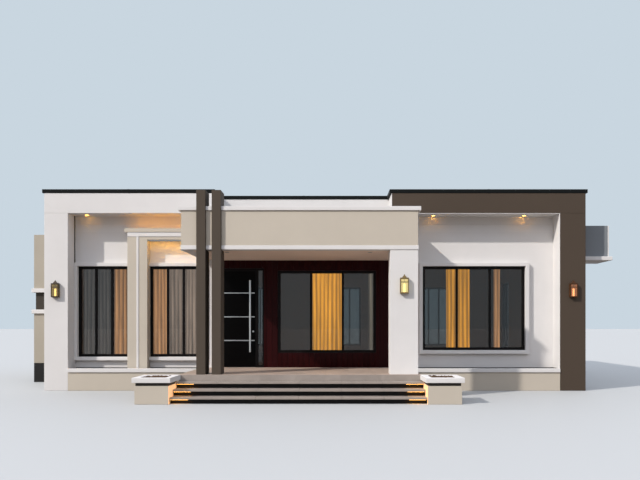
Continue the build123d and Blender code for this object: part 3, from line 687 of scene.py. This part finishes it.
class BUNGALOW_OT_roof(bpy.types.Operator):
    """Covers the flat roof with felt rolls, upstands and outlets."""
    bl_idname = "bungalow.roof"
    bl_label = "Roof"

    def execute(self, context):
        sizes = context.scene.bungalow_sizes
        left, _, rear, west, east, middle = parapet_runs()
        x0, x1 = west[1][0], east[0][0]
        front, back = middle[1][1], rear[0][1]
        left_x, right_x = middle[0][0], middle[1][0]
        wing_front = left[1][1]
        slab = max(high.z for low, high in solids_of("roof_slabs"))
        thick, lap, felt_edge = 0.004, 0.08, 0.0015
        rolls = []
        count = math.ceil((back - front) / (sizes.roll - lap))
        step = (back - front) / count
        for i in range(count):
            y = front + i * step
            rolls += [add_block((x0, y, slab), (x1, y + step, slab + thick)),
                      add_block((x0, y - lap if i else y, slab + thick), (x1, y + lap, slab + 2 * thick))]
        for start, end in ((x0, left_x), (right_x, x1)):
            rolls.append(add_block((start, wing_front, slab), (end, front, slab + thick)))
        rise, skin, bar_height = 0.15, 0.006, 0.03
        upstands = [
            ((x0, back - skin), (x1, back)), ((x0, wing_front), (x0 + skin, back)),
            ((x1 - skin, wing_front), (x1, back)), ((x0, wing_front), (left_x, wing_front + skin)),
            ((right_x, wing_front), (x1, wing_front + skin)),
            ((left_x - skin, wing_front), (left_x, front)),
            ((right_x, wing_front), (right_x + skin, front)), ((left_x, front), (right_x, front + skin)),
        ]
        rolls += [add_block((*a, slab), (*b, slab + rise)) for a, b in upstands]
        felt = roofing_felt("mineral_roofing_felt")
        place(ease(join("roof_felt", rolls), felt_edge, 1), felt, "roof_concrete")
        metal = brushed_steel("aluminium_bar", (40.0, 40.0, 400.0), linear("B9BCBE"))
        bars = [add_block((a[0] - skin / 2, a[1] - skin / 2, slab + rise - bar_height),
                          (b[0] + skin / 2, b[1] + skin / 2, slab + rise)) for a, b in upstands]
        place(ease(join("roof_edge_bars", bars), SHEET_EDGE, 1), metal, "brushed_trim")
        flange, plate, plate_edge, top, from_back = 0.13, 0.02, 0.005, 0.1, 0.6
        ribs, rib_radius, cap = 8, 0.006, (0.03, 0.03, 0.012)
        # How far out and how high each bend of a rib is
        bends = ((0.1, 0), (0.095, 0.07), (0.04, top), (0, top))
        outlets = []
        quarter = (x1 - x0) / 4
        for x in (x0 + quarter, x1 - quarter):
            centre = Vector((x, back - from_back, slab + 2 * thick))
            outlets.append(ease(add_rod(centre, centre + UP * plate, flange, sides=32), plate_edge))
            for i in range(ribs):
                turn = i * math.tau / ribs
                out = Vector((math.cos(turn), math.sin(turn), 0))
                outlets.append(bent_bar([centre + out * away + UP * up for away, up in bends], rib_radius))
            outlets.append(add_ball(centre + UP * top, cap))
        place(join("roof_outlets", outlets), metal, "brushed_trim")
        return {"FINISHED"}


class BUNGALOW_OT_cladding(bpy.types.Operator):
    """Fixes upright boards on the wall behind the porch, cut round the door and the window."""
    bl_idname = "bungalow.cladding"
    bl_label = "Cladding"

    def execute(self, context):
        colours, sizes = chosen(context)
        low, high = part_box("porch_cladding")
        count = round((high.x - low.x) / (sizes.board + sizes.board_gap))
        pitch = (high.x - low.x) / count
        behind = low.y + sizes.board_depth
        boards = add_block((low.x + sizes.board_gap / 2, low.y, low.z),
                           (low.x + pitch - sizes.board_gap / 2, behind, high.z), "cladding_boards")
        repeat(ease(boards, SMALL_EDGE), count, (pitch, 0, 0))
        backing = add_block((low.x, behind, low.z), high, "cladding_membrane")
        cut, near, through, far = 0.05, 0.5, 1, 10.0
        windows = [solid for solid in solids_of("window_frames")
                   if low.x < solid[0].x and solid[1].x < high.x and solid[0].y < near]
        cutters = []
        for hole_low, hole_high in (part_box("door_frame"), *windows):
            foot = hole_low.z - (cut if hole_low.z <= low.z else 0)
            cutters.append(add_block((hole_low.x, -through, foot), (hole_high.x, through, hole_high.z)))
        cutters[0].data.transform(Matrix.Translation((-WELD, 0, 0)))
        cutter = join("opening_cutter", cutters)
        for piece in (boards, backing):
            apply_modifier(piece, "BOOLEAN", operation="DIFFERENCE", object=cutter, solver="EXACT")
        bpy.data.objects.remove(cutter)
        smooth(boards)
        stain = stained_board("stained_hardwood", colours.cladding, (low.x, -far, -far),
                              (pitch, 2 * far, 2 * far))
        place(boards, stain, "maroon_cladding", "porch_cladding")
        place(backing, powder_coat("black_membrane", linear("0B0A0A"), 0.8), "maroon_cladding")
        return {"FINISHED"}


def laid_slabs(low, high, counts, joint, edge, name):
    """Equal slabs that fill a box in rows along X and Y, with joints between them."""
    pitch = [(high[i] - low[i]) / counts[i] for i in range(2)]
    slab = add_block((low[0] + joint / 2, low[1] + joint / 2, low[2]),
                     (low[0] + pitch[0] - joint / 2, low[1] + pitch[1] - joint / 2, high[2]), name)
    ease(slab, edge)
    for axis in range(2):
        if counts[axis] > 1:
            repeat(slab, counts[axis], [pitch[axis] if i == axis else 0 for i in range(3)])
    smooth(slab)
    return slab


class BUNGALOW_OT_steps(bpy.types.Operator):
    """Tiles the porch and lays the stone treads in separate slabs."""
    bl_idname = "bungalow.steps"
    bl_label = "Porch floor and steps"

    def execute(self, context):
        colours, sizes = chosen(context)
        low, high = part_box("porch_floor")
        tile_depth, bed_drop, tread, riser, whole = 0.012, 0.004, 0.3, 0.15, 5.0
        tile_edge, tread_edge = 0.0015, 0.006
        counts = [round((high[i] - low[i]) / sizes.tile) for i in range(2)]
        pitch = [(high[i] - low[i]) / counts[i] for i in range(2)]
        porcelain = honed_stone("porch_porcelain", colours.porch, (*pitch, 1.0), (low.x, low.y, 0.0))
        tiles = laid_slabs((low.x, low.y, high.z - tile_depth), high, counts, sizes.joint, tile_edge,
                           "porch_tiles")
        place(tiles, porcelain, "floor_tile", "porch_floor")
        bed = add_block(low, (high.x, high.y, high.z - bed_drop), "porch_slab_edge")
        sawn = honed_stone("sawn_edge_stone", colours.stone, (sizes.slab, whole, whole), low)
        place(ease(bed, STOUT_EDGE), sawn, "step_stone")
        rows = []
        for tread_low, tread_high in solids_of("step_treads", axis=2):
            count = round((tread_high.x - tread_low.x) / sizes.slab)
            rows.append(laid_slabs(tread_low, tread_high, (count, 1), sizes.joint, tread_edge, "tread_row"))
        slab_size = ((high.x - low.x) / round((high.x - low.x) / sizes.slab), tread, riser)
        stone = honed_stone("honed_step_stone", colours.stone, slab_size, low)
        place(join("stone_treads", rows), stone, "step_stone", "step_treads")
        return {"FINISHED"}


class BUNGALOW_OT_soil(bpy.types.Operator):
    """Fills the planters and beds with raked soil and loose clods."""
    bl_idname = "bungalow.soil"
    bl_label = "Soil"

    def execute(self, context):
        clod_size = context.scene.bungalow_sizes.clod
        damp = garden_soil("damp_topsoil")
        rim, clods_per_square_metre, seed = 0.01, 220, 7
        # Heights of the lumps and the crumbs, with how closely they follow each other
        swell, swells, crumb, crumbs = 0.03, 7, 0.016, 23
        heap, clod_heap, sunk = 0.01, 0.012, 0.2
        # Shares of the mean size that a clod has, of its breadth and height, and of its rough surface
        spread, broad, flat, rough = (0.5, 1.5), (0.7, 1.3), (0.5, 0.8), (0.8, 1.1)
        draw = random.Random(seed)
        beds, clods = [], []
        for low, high in solids_of("planting_soil"):
            bed = add_block(low, high)
            pick_faces(bed, lambda centre, normal: normal.z > 0.5)
            bpy.ops.mesh.inset(thickness=2 * rim, depth=0)
            bpy.ops.mesh.subdivide(number_cuts=12)
            bpy.ops.mesh.subdivide(number_cuts=2)
            close_edit()
            for vert in bed.data.vertices:
                inside = min(vert.co.x - low.x, high.x - vert.co.x, vert.co.y - low.y, high.y - vert.co.y)
                if vert.co.z > high.z - WELD and inside > rim:
                    lumps = noise.noise(vert.co * swells) * swell + noise.noise(vert.co * crumbs) * crumb
                    vert.co.z += lumps + heap
            beds.append(bed)
            area = (high.x - low.x) * (high.y - low.y)
            for i in range(int(area * clods_per_square_metre)):
                size = clod_size * draw.uniform(*spread)
                spot = Vector((draw.uniform(low.x + size, high.x - size),
                               draw.uniform(low.y + size, high.y - size), 0))
                ground = noise.noise(Vector((spot.x, spot.y, high.z)) * swells) * swell + clod_heap
                spot.z = high.z + ground + size * sunk
                clods.append((spot, size))
        smooth(place(join("garden_soil", beds), damp, "soil", "planting_soil"), 60)
        lump = add_primitive(bpy.ops.mesh.primitive_ico_sphere_add, "soil_clods", subdivisions=1, radius=1)
        shape = bmesh.new()
        for spot, size in clods:
            first = len(shape.verts)
            shape.from_mesh(lump.data)
            shape.verts.ensure_lookup_table()
            turn = Matrix.Rotation(draw.uniform(0, math.tau), 3, "Z")
            stretch = Vector([draw.uniform(*span) for span in (broad, broad, flat)])
            for vert in shape.verts[first:]:
                vert.co = spot + turn @ (vert.co * stretch) * size * draw.uniform(*rough)
        shape.to_mesh(lump.data)
        shape.free()
        place(lump, damp, "soil")
        return {"FINISHED"}


class BUNGALOW_OT_windows(bpy.types.Operator):
    """Glazes the windows, with beads round every pane."""
    bl_idname = "bungalow.windows"
    bl_label = "Windows"

    def execute(self, context):
        colours, sizes = chosen(context)
        coated = powder_coat("black_powder_coat", colours.joinery, shine=0.1)
        coat("window_glass", float_glass("grey_float_glass", linear("868D8E")))
        eased_copy("window_frames", STOUT_EDGE, coated, "black_frame")
        beads = []
        for low, high in solids_of("window_glass"):
            axis = 0 if high.x - low.x < high.y - low.y else 1
            middle = (low[axis] + high[axis]) / 2
            low[axis], high[axis] = middle - sizes.bead_depth / 2, middle + sizes.bead_depth / 2
            beads.append(tube_through(low, high, axis, sizes.bead))
        gasket = powder_coat("rubber_gasket", linear("131212"), 0.65, 0.1)
        place(ease(join("glazing_beads", beads), STOUT_EDGE, 1), gasket, "black_frame")
        return {"FINISHED"}


class BUNGALOW_OT_front_door(bpy.types.Operator):
    """Finishes the door leaf, its strips, pull, lock and hinges, and lays the threshold."""
    bl_idname = "bungalow.front_door"
    bl_label = "Front door"

    def execute(self, context):
        colours = context.scene.bungalow_colours
        steel = linear("C9C8C6")
        along_x = brushed_steel("strip_steel", (30.0, 400.0, 400.0), steel)
        along_z = brushed_steel("pull_steel", (400.0, 400.0, 30.0), steel)
        hinge = brushed_steel("hinge_steel", (400.0, 400.0, 40.0), linear("9A9A99"))
        coated = powder_coat("black_door_frame", colours.joinery, shine=0.1)
        eased_copy("door_frame", STOUT_EDGE, coated, "black_frame")
        lacquer = door_lacquer("satin_door_lacquer", colours.door)
        eased_copy("door_leaf", SMALL_EDGE, lacquer, "black_door", DOOR)
        coat("door_strips", along_x)
        coat("door_leaf_hinges", hinge)
        coat("door_frame_hinges", hinge)
        low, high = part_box("door_pull")
        leaf_low, leaf_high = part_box("door_leaf")
        face = leaf_low.y

        def stud(x, z, radius, proud, edge, sides):
            """A round plate on the face of the leaf."""
            return ease(add_rod((x, face - proud, z), (x, face, z), radius, sides=sides), edge)

        radius = (high.x - low.x) / 2
        x, y = (low.x + high.x) / 2, low.y + radius
        post_inset, bar_edge = 0.241, 0.004
        fittings = [ease(add_rod((x, y, low.z), (x, y, high.z), radius, sides=40), bar_edge)]
        for z in (low.z + post_inset, high.z - post_inset):
            fittings.append(add_rod((x, y, z), (x, face, z), radius / 2))
            fittings.append(stud(x, z, radius * 0.9, proud=0.004, edge=0.0015, sides=32))
        place(join("door_pull_bar", fittings), along_z, "brushed_trim", "door_pull", body=DOOR)
        lock_height, key_x, key_z = 1.0, 0.001, 0.005
        lock_x, lock_z = (x + leaf_high.x) / 2, leaf_low.z + lock_height
        lock = [stud(lock_x, lock_z, 0.026, proud=0.008, edge=0.003, sides=40),
                stud(lock_x, lock_z, 0.009, proud=0.014, edge=0.001, sides=24),
                add_block((lock_x - key_x, face - 0.0145, lock_z - key_z),
                          (lock_x + key_x, face - 0.012, lock_z + key_z))]
        place(join("door_lock", lock), along_z, "brushed_trim", body=DOOR)
        frame_low, frame_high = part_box("door_frame")
        side, inset, height = 0.006, 0.002, 0.003
        sill = add_block((leaf_low.x - side, frame_low.y + inset, frame_low.z),
                         (leaf_high.x + side, frame_high.y, frame_low.z + height), "door_threshold")
        place(ease(sill, SHEET_EDGE), along_x, "brushed_trim")
        return {"FINISHED"}


def fold_path(width, depth, fold, seed):
    """Points across a gathered curtain, seen from above, with their distance along the cloth."""
    draw = random.Random(seed)
    uneven, shallowest, steps = 0.16, 0.72, 14
    count = max(2, round(width / fold))
    shifts = [draw.uniform(-uneven, uneven) for i in range(count + 1)]
    reach = [draw.uniform(shallowest, 1.0) for i in range(count + 1)]
    points = []
    for i in range(count * steps + 1):
        turn = i / steps
        cell = min(int(turn), count - 1)
        mix = turn - cell
        shift = shifts[cell] * (1 - mix) + shifts[cell + 1] * mix
        swing = reach[cell] * (1 - mix) + reach[cell + 1] * mix
        bulge = uneven * math.sin(2 * math.tau * turn)
        x = width * turn / count + bulge * width / count * 0.5
        points.append((x, depth / 2 * swing * math.sin(math.tau * (turn + shift * math.sin(math.pi * mix)))))
    lengths = [0]
    for a, b in zip(points, points[1:]):
        lengths.append(lengths[-1] + math.dist(a, b))
    return points, lengths


def hang_curtain(low, high, fold, seed, name):
    """One gathered curtain in a box: pinched at its heading and looser towards its hem."""
    spare, rows, heading, reach = 0.004, 26, 0.62, 0.029
    widest_sway, widest_drift = 0.006, 0.012
    points, lengths = fold_path(high.x - low.x, high.y - low.y - spare, fold, seed)
    middle = (low.y + high.y) / 2
    shape = bmesh.new()
    across = shape.loops.layers.uv.new("cloth")
    grid = []
    for j in range(rows + 1):
        drop = j / rows
        z = high.z + (low.z - high.z) * drop
        pinch = heading + (1 - heading) * min(1, drop * 5)
        sway = widest_sway * math.sin(3 * drop + seed)
        row = []
        for x, y in points:
            drift = widest_drift * drop * math.sin(9 * x + 2.4 * drop + seed)
            row.append(shape.verts.new((min(max(low.x + x + drift, low.x), high.x),
                                        middle + max(min(y * pinch + sway, reach), -reach), z)))
        grid.append(row)
    for j in range(rows):
        for i in range(len(points) - 1):
            spots = ((i, j + 1), (i + 1, j + 1), (i + 1, j), (i, j))
            face = shape.faces.new([grid[v][u] for u, v in spots])
            for loop, (u, v) in zip(face.loops, spots):
                loop[across].uv = (lengths[u], (high.z - low.z) * (1 - v / rows))
    mesh = bpy.data.meshes.new(name)
    shape.to_mesh(mesh)
    shape.free()
    curtain = add_object(name, mesh)
    smooth(curtain, 60)
    return curtain, lengths[-1]


class BUNGALOW_OT_curtains(bpy.types.Operator):
    """Hangs gathered curtains on rings from their rails."""
    bl_idname = "bungalow.curtains"
    bl_label = "Curtains"

    def execute(self, context):
        colours, sizes = chosen(context)
        low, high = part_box("curtains")
        # How far in from the curtains' front and back the folds' painted shade is lightest and darkest
        brightest, dimmest = 0.006, 0.01
        depth = (low.y + brightest, high.y - dimmest)
        # Each cloth's glow is painted light from the room's lamps behind it
        warm = lit_cloth("orange_voile", colours.warm_cloth, 7.8, depth)
        rust = lit_cloth("rust_voile", colours.rust_cloth, 5.2, depth)
        sheer = lit_cloth("grey_voile", colours.sheer_cloth, 1.9, depth)
        rose = lit_cloth("rosy_voile", colours.rose_cloth, 4.4, depth)
        cream = lit_cloth("cream_voile", colours.cream_cloth, 1.6, depth)
        bronze = powder_coat("bronze_rail", linear("2A221B"), 0.35)
        coat("curtain_rails", bronze)
        rail = solids_of("curtain_rails")[0]
        rail_z = (rail[0].z + rail[1].z) / 2
        cloths = (sheer, rust, rust, rose, warm, cream, warm, rust)
        places = solids_of("curtains")
        # The first two curtains meet further left than their CAD slabs do.
        drawn_back = 0.19
        places[0][1].x -= drawn_back
        places[1][0].x -= drawn_back
        inset = 0.02
        for number, ((low, high), cloth) in enumerate(zip(places, cloths), 1):
            curtain, width = hang_curtain(low, high, sizes.fold, number, f"curtain_{number}")
            place(curtain, cloth, "curtain_cloth", "curtains")
            rings = []
            count = max(3, round((high.x - low.x) / sizes.fold))
            for i in range(count):
                x = low.x + inset + (high.x - low.x - 2 * inset) * i / (count - 1)
                rings.append(add_primitive(
                    bpy.ops.mesh.primitive_torus_add, "ring", major_radius=0.02, minor_radius=0.003,
                    major_segments=16, minor_segments=6, location=(x, (low.y + high.y) / 2, rail_z),
                    rotation=(0, math.pi / 2, 0)))
            ring_set = join(f"curtain_rings_{number}", rings)
            smooth(ring_set)
            place(ring_set, bronze, "rail_metal")
        return {"FINISHED"}


def lantern_pieces(low, high, glass_low, glass_high):
    """One flat lantern's pieces of metal, its glass and its lamp, made where the CAD lantern is."""
    x, half = (low.x + high.x) / 2, (high.x - low.x) / 2
    front, back, wall = low.y, glass_high.y, high.y
    post = half - (glass_high.x - glass_low.x) / 2
    inner = half - post
    z0, z1 = glass_low.z, glass_high.z
    eave = z1 + z0 - low.z
    y = (front + wall) / 2
    roof_share, waist_share = 0.7, 0.72
    crown = eave + roof_share * (high.z - eave)
    # The base, the eave and the back plate
    metal = [ease(add_block((x - half, front, low.z), (x + half, wall, z0)), STOUT_EDGE),
             ease(add_block((x - half, front, z1), (x + half, wall, eave)), STOUT_EDGE),
             ease(add_block((x - half, back, z0), (x + half, wall, z1)), SMALL_EDGE)]
    # The hipped roof with its collar and knob
    roof_x, roof_y, hip = 0.058, 0.034, (0.24, 0.4, 1)
    collar, collar_height, knob_radius, knob_drop = 0.003, 0.006, 0.011, 0.012
    roof = add_block((x - roof_x, y - roof_y, eave), (x + roof_x, y + roof_y, crown))
    pick_faces(roof, lambda centre, normal: normal.z > 0.5)
    bpy.ops.transform.resize(value=hip, center_override=(x, y, crown))
    bpy.ops.mesh.inset(thickness=collar, depth=0)
    bpy.ops.mesh.extrude_region_move(TRANSFORM_OT_translate={"value": (0, 0, collar_height)})
    close_edit()
    metal.append(ease(roof, SMALL_EDGE))
    knob = add_ball((x, y, high.z - knob_drop), [knob_radius] * 3)
    smooth(knob, 80)
    metal.append(knob)
    # The front posts, a thin bar on each side and the base's screws
    corner, bar, screw, screw_height = 0.012, 0.004, 0.004, 0.009
    for side in (-1, 1):
        edge, middle = x + side * (half - corner), x + side * (half - post / 2)
        upright = add_block((edge - corner, front, z0), (edge + corner, front + post, z1))
        metal.append(ease(upright, SMALL_EDGE))
        metal.append(add_block((middle - bar, y - bar, z0), (middle + bar, y + bar, z1)))
        metal.append(add_ball((edge, front + screw / 2, low.z + screw_height), (screw, screw / 2, screw),
                              segments=10, rings=6))
    # Three bands round the cage
    set_in, lowest, waist, highest = 0.001, 0.014, 0.02, 0.016
    for z, deep in ((z0, lowest), (z0 + waist_share * (z1 - z0), waist), (z1 - highest, highest)):
        metal.append(ease(tube_through((x - half + set_in, front + set_in, z),
                                       (x + half - set_in, back, z + deep), 2, corner), SMALL_EDGE))
    # The lamp holder, the glass and the lamp
    holder_height, holder_radius, taper, pane = 0.075, 0.026, (0.5, 0.5, 1), 0.003
    lamp_foot, lamp_top, lamp_radius, lamp_edge = 0.01, 0.22, 0.024, 0.016
    foot = z1 - holder_height
    holder = add_rod((x, y, foot), (x, y, z1), holder_radius)
    pick_faces(holder, lambda centre, normal: normal.z < -0.5)
    bpy.ops.transform.resize(value=taper, center_override=(x, y, foot))
    close_edit()
    metal.append(ease(holder, STOUT_EDGE))
    glass = tube_through((x - inner, front + post, z0), (x + inner, back, z1), 2, pane)
    lamp = add_rod((x, y, z0 + lamp_foot), (x, y, z0 + lamp_top), lamp_radius)
    return metal, glass, ease(lamp, lamp_edge, 4)


class BUNGALOW_OT_lanterns(bpy.types.Operator):
    """Makes the three wall lanterns with their cages, panes and lamps."""
    bl_idname = "bungalow.lanterns"
    bl_label = "Wall lanterns"

    def execute(self, context):
        # One lantern model in three places: its metal and glass tones differ from place to place as painted
        # light and shade
        looks_with_painted_light = (("left", "45382A", "D2BE8C", 0.1, "FFE6B4", 2.2),
                 ("column", "7A6844", "F0E2AE", 0.28, "FFEFC0", 0.9),
                 ("right", "4A2E18", "C08F68", 0.2, "FFDCC0", 3.0))
        for solid, glass, (side, metal, tint, glow, flame, power) in zip(
                solids_of("wall_lanterns"), solids_of("lantern_glass"), looks_with_painted_light):
            cage, panes, lamp = lantern_pieces(*solid, *glass)
            panes.name, lamp.name = f"lantern_panes_{side}", f"lantern_lamp_{side}"
            coated = powder_coat(f"lantern_metal_{side}", linear(metal), 0.38)
            place(join(f"lantern_cage_{side}", cage), coated, "lantern_metal", "wall_lanterns")
            frosted = float_glass(f"lantern_glass_{side}", linear(tint), 0.15, glow)
            place(panes, frosted, "lantern_glass", "lantern_glass")
            place(lamp, lamp_diffuser(f"lantern_tube_{side}", linear(flame), power), "lamp_glass")
        return {"FINISHED"}


class BUNGALOW_OT_downlights(bpy.types.Operator):
    """Fits a ring and a lens to each ceiling lamp, and a wall washer behind each lit one."""
    bl_idname = "bungalow.downlights"
    bl_label = "Ceiling lamps"

    def execute(self, context):
        colours = context.scene.bungalow_colours
        trim = powder_coat("white_lamp_ring", linear("D8D2C8"), 0.4)
        opal = lamp_diffuser("opal_lamp_lens", colours.glow, 9.0)
        washer = lamp_diffuser("wall_washer_lens", linear("FFB43C"), 150.0)
        unlit = float_glass("unlit_lamp_lens", linear("4A4744"), 0.3)
        rings, lit, dark, backs = [], [], [], []
        rim, recess, lift, clear, shy, washer_half = 0.012, 0.007, 0.003, 0.004, 0.001, 0.03
        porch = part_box("porch_ceiling")
        for low, high in solids_of("downlights"):
            x, y, z = (low + high) / 2
            radius = (high.x - low.x) / 2
            ring = add_rod((x, y, low.z), (x, y, high.z), radius, sides=40)
            pick_faces(ring, lambda centre, normal: normal.z < -0.5)
            bpy.ops.mesh.inset(thickness=rim, depth=0)
            bpy.ops.transform.translate(value=(0, 0, recess))
            close_edit()
            rings.append(ease(ring, SMALL_EDGE))
            lens = add_rod((x, y, low.z + lift), (x, y, high.z - shy), radius - rim - clear, sides=32)
            shaded = y < porch[1].y and z < porch[1].z
            (dark if shaded else lit).append(ease(lens, SMALL_EDGE))
            if not shaded:
                backs.append(add_block((x - washer_half, high.y - clear, low.z + shy),
                                       (x + washer_half, high.y - shy, high.z)))
        place(join("downlight_rings", rings), trim, "lamp_glass", "downlights")
        place(join("downlight_lenses", lit), opal, "lamp_glass")
        place(ease(join("wall_washer_lenses", backs), SHEET_EDGE, 1), washer, "lamp_glass")
        place(join("porch_lamp_lenses", dark), unlit, "lamp_glass")
        return {"FINISHED"}


class BUNGALOW_OT_light_channels(bpy.types.Operator):
    """Lays lit channels on and under the portal's lintel and under the treads, and glowing sheets that paint
    light on the planters.
    """
    bl_idname = "bungalow.light_channels"
    bl_label = "Light channels"

    def execute(self, context):
        aluminium = brushed_steel("channel_aluminium", (30.0, 400.0, 400.0), linear("B5B7B9"))
        amber = lamp_diffuser("amber_diffuser", linear("FFA818"), 19.0)
        golden = lamp_diffuser("golden_diffuser", linear("FFB93E"), 42.0)
        step_light = lamp_diffuser("step_diffuser", linear("FFB245"), 16.0)
        side_glow = lamp_diffuser("side_panel_opal", linear("FFC892"), 0.65)
        lintel_low, lintel_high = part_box("portal_lintel")
        pier_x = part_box("portal_pier")[1].x
        trays = []

        def channel(low, high, facing, material, name):
            """One channel and its diffuser, which faces up or down."""
            trays.append(ease(add_block(low, high), SHEET_EDGE, 1))
            end, side, thick = 0.004, 0.003, 0.002
            face = high[2] if facing > 0 else low[2]
            proud = face + thick * facing
            lens = add_block((low[0] + end, low[1] + side, min(face, proud)),
                             (high[0] - end, high[1] - side, max(face, proud)), name)
            place(ease(lens, SHEET_EDGE / 2, 1), material, "lamp_glass")

        # Front and back of the upper channel, of the lower one and of the strip that hides it
        over, under, strip = (-0.215, -0.185), (-0.22, -0.195), (-0.232, -0.226)
        over_height, under_height, strip_height = 0.008, 0.013, 0.03
        gap, from_end = 0.02, 0.12
        right, top, bottom = lintel_high.x - gap, lintel_high.z, lintel_low.z
        channel((lintel_low.x + from_end, over[0], top), (right, over[1], top + over_height), 1, amber,
                "portal_top_diffuser")
        channel((pier_x + gap, under[0], bottom - under_height), (right, under[1], bottom), -1, golden,
                "portal_under_diffuser")
        shade = add_block((pier_x + gap / 2, strip[0], bottom - strip_height),
                          (lintel_high.x - gap / 2, strip[1], bottom))
        trays.append(ease(shade, SHEET_EDGE, 1))
        treads = solids_of("step_treads", axis=2)
        reach, front, back, height = 0.42, 0.05, 0.07, 0.012
        for number, (low, high) in enumerate(treads, 1):
            for side, start, end in (("left", low.x + gap, low.x + reach),
                                     ("right", high.x - reach, high.x - gap)):
                channel((start, low.y + front, low.z - height), (end, low.y + back, low.z), -1, step_light,
                        f"step_diffuser_{side}_{number}")
        # Sheets on the planters' faces beside the steps: their glow is painted light on those faces, and it
        # also lights the steps' ends
        thick = 0.006
        for wall_low, wall_high in solids_of("planter_walls"):
            if wall_low.y < treads[0][0].y:
                left = wall_high.x < 0
                ends = (wall_high.x, wall_high.x + thick) if left else (wall_low.x - thick, wall_low.x)
                panel = []
                rear, foot = wall_low.y, 0.0
                for low, high in (*treads, (wall_high, wall_high)):
                    panel.append(add_block((ends[0], rear, foot), (ends[1], low.y, wall_high.z)))
                    rear, foot = low.y, high.z
                name = "side_panel_left" if left else "side_panel_right"
                place(join(name, panel), side_glow, "lamp_glass")
        place(join("light_channels", trays), aluminium, "brushed_trim")
        return {"FINISHED"}


class BUNGALOW_OT_stage(bpy.types.Operator):
    """Sets the pale floor, the sky, the sun and the camera."""
    bl_idname = "bungalow.stage"
    bl_label = "Stage"

    def execute(self, context):
        scene = context.scene
        floor = add_primitive(bpy.ops.mesh.primitive_plane_add, "stage_floor", size=600,
                              location=(0, 0, -0.001))
        material, tree, shader, _ = new_material("stage_floor_paint")
        bounced = add_node(tree, "ShaderNodeLightPath").outputs["Is Diffuse Ray"]
        paint = add_node(tree, "ShaderNodeMix", {0: bounced, 6: linear("B3B5B6"), 7: linear("5C5044")},
                         data_type="RGBA")
        feed(shader, {"Base Color": paint.outputs[2], "Roughness": 0.7})
        floor.data.materials.append(material)
        scene.world = bpy.data.worlds.new("studio_world")
        scene.world.use_nodes = True
        tree = scene.world.node_tree
        tree.nodes.clear()
        ray = add_node(tree, "ShaderNodeLightPath").outputs
        mirrored = add_node(tree, "ShaderNodeMath",
                            {0: ray["Is Glossy Ray"], 1: ray["Is Transmission Ray"]}, operation="MAXIMUM")
        seen = add_node(tree, "ShaderNodeMath", {0: ray["Is Camera Ray"], 1: mirrored.outputs[0]},
                        operation="MAXIMUM")
        ahead = add_node(tree, "ShaderNodeTexCoord").outputs["Object"]
        height = add_node(tree, "ShaderNodeSeparateXYZ", {0: ahead}).outputs[2]
        rise = add_node(tree, "ShaderNodeMapRange", {"Value": height, "From Min": 0.2, "From Max": 0.42})
        sky = add_node(tree, "ShaderNodeMix", {0: rise.outputs[0], 6: (0.5, 0.5, 0.52, 1.0),
                                               7: (1.0, 1.06, 1.2, 1.0)}, data_type="RGBA")
        soft = add_node(tree, "ShaderNodeBackground", {"Color": sky.outputs[2]})
        pale = add_node(tree, "ShaderNodeBackground", {"Color": linear("C9D6E0")})
        mixed = add_node(tree, "ShaderNodeMixShader",
                         {0: seen.outputs[0], 1: soft.outputs[0], 2: pale.outputs[0]})
        add_node(tree, "ShaderNodeOutputWorld", {"Surface": mixed.outputs[0]})
        bpy.ops.object.light_add(type="SUN")
        key = bpy.context.object
        key.name = "key_light"
        key.data.energy, key.data.angle, key.data.color = 3.45, math.radians(1.5), (1.0, 0.94, 0.87)
        sunbeam = Vector((1.455, 1.0, -1.315))
        key.rotation_euler = sunbeam.to_track_quat("-Z", "Y").to_euler()
        bpy.ops.object.camera_add(location=(0.546, -18.5, 1.78), rotation=(math.pi / 2, 0, 0))
        scene.camera = bpy.context.object
        view = scene.camera.data
        view.lens, view.sensor_width, view.clip_end = 37.1, 36, 1000
        view.shift_x, view.shift_y = -0.0234, 0.1333
        scene.view_settings.view_transform = "Standard"
        return {"FINISHED"}


PIECES = (
    BUNGALOW_OT_masonry, BUNGALOW_OT_coping, BUNGALOW_OT_roof, BUNGALOW_OT_cladding, BUNGALOW_OT_steps,
    BUNGALOW_OT_soil, BUNGALOW_OT_windows, BUNGALOW_OT_front_door, BUNGALOW_OT_curtains,
    BUNGALOW_OT_lanterns, BUNGALOW_OT_downlights, BUNGALOW_OT_light_channels, BUNGALOW_OT_stage,
)


class BUNGALOW_PT_panel(bpy.types.Panel):
    """Lists the pieces of the house with their sizes and colours."""
    bl_idname = "BUNGALOW_PT_panel"
    bl_label = "Bungalow"
    bl_space_type = "VIEW_3D"
    bl_region_type = "UI"
    bl_category = "Bungalow"

    def draw(self, context):
        column = self.layout.column()
        for piece in PIECES:
            column.operator(piece.bl_idname)
        for group in reversed(chosen(context)):
            for name in group.__annotations__:
                column.prop(group, name)


def register():
    for cls in (HouseColours, HouseSizes, *PIECES, BUNGALOW_PT_panel):
        bpy.utils.register_class(cls)
    bpy.types.Scene.bungalow_colours = bpy.props.PointerProperty(type=HouseColours)
    bpy.types.Scene.bungalow_sizes = bpy.props.PointerProperty(type=HouseSizes)


def unregister():
    del bpy.types.Scene.bungalow_sizes
    del bpy.types.Scene.bungalow_colours
    for cls in (BUNGALOW_PT_panel, *reversed(PIECES), HouseSizes, HouseColours):
        bpy.utils.unregister_class(cls)


def main():
    register()
    for piece in PIECES:
        group, name = piece.bl_idname.split(".")
        getattr(getattr(bpy.ops, group), name)()


if __name__ == "__main__":
    main()
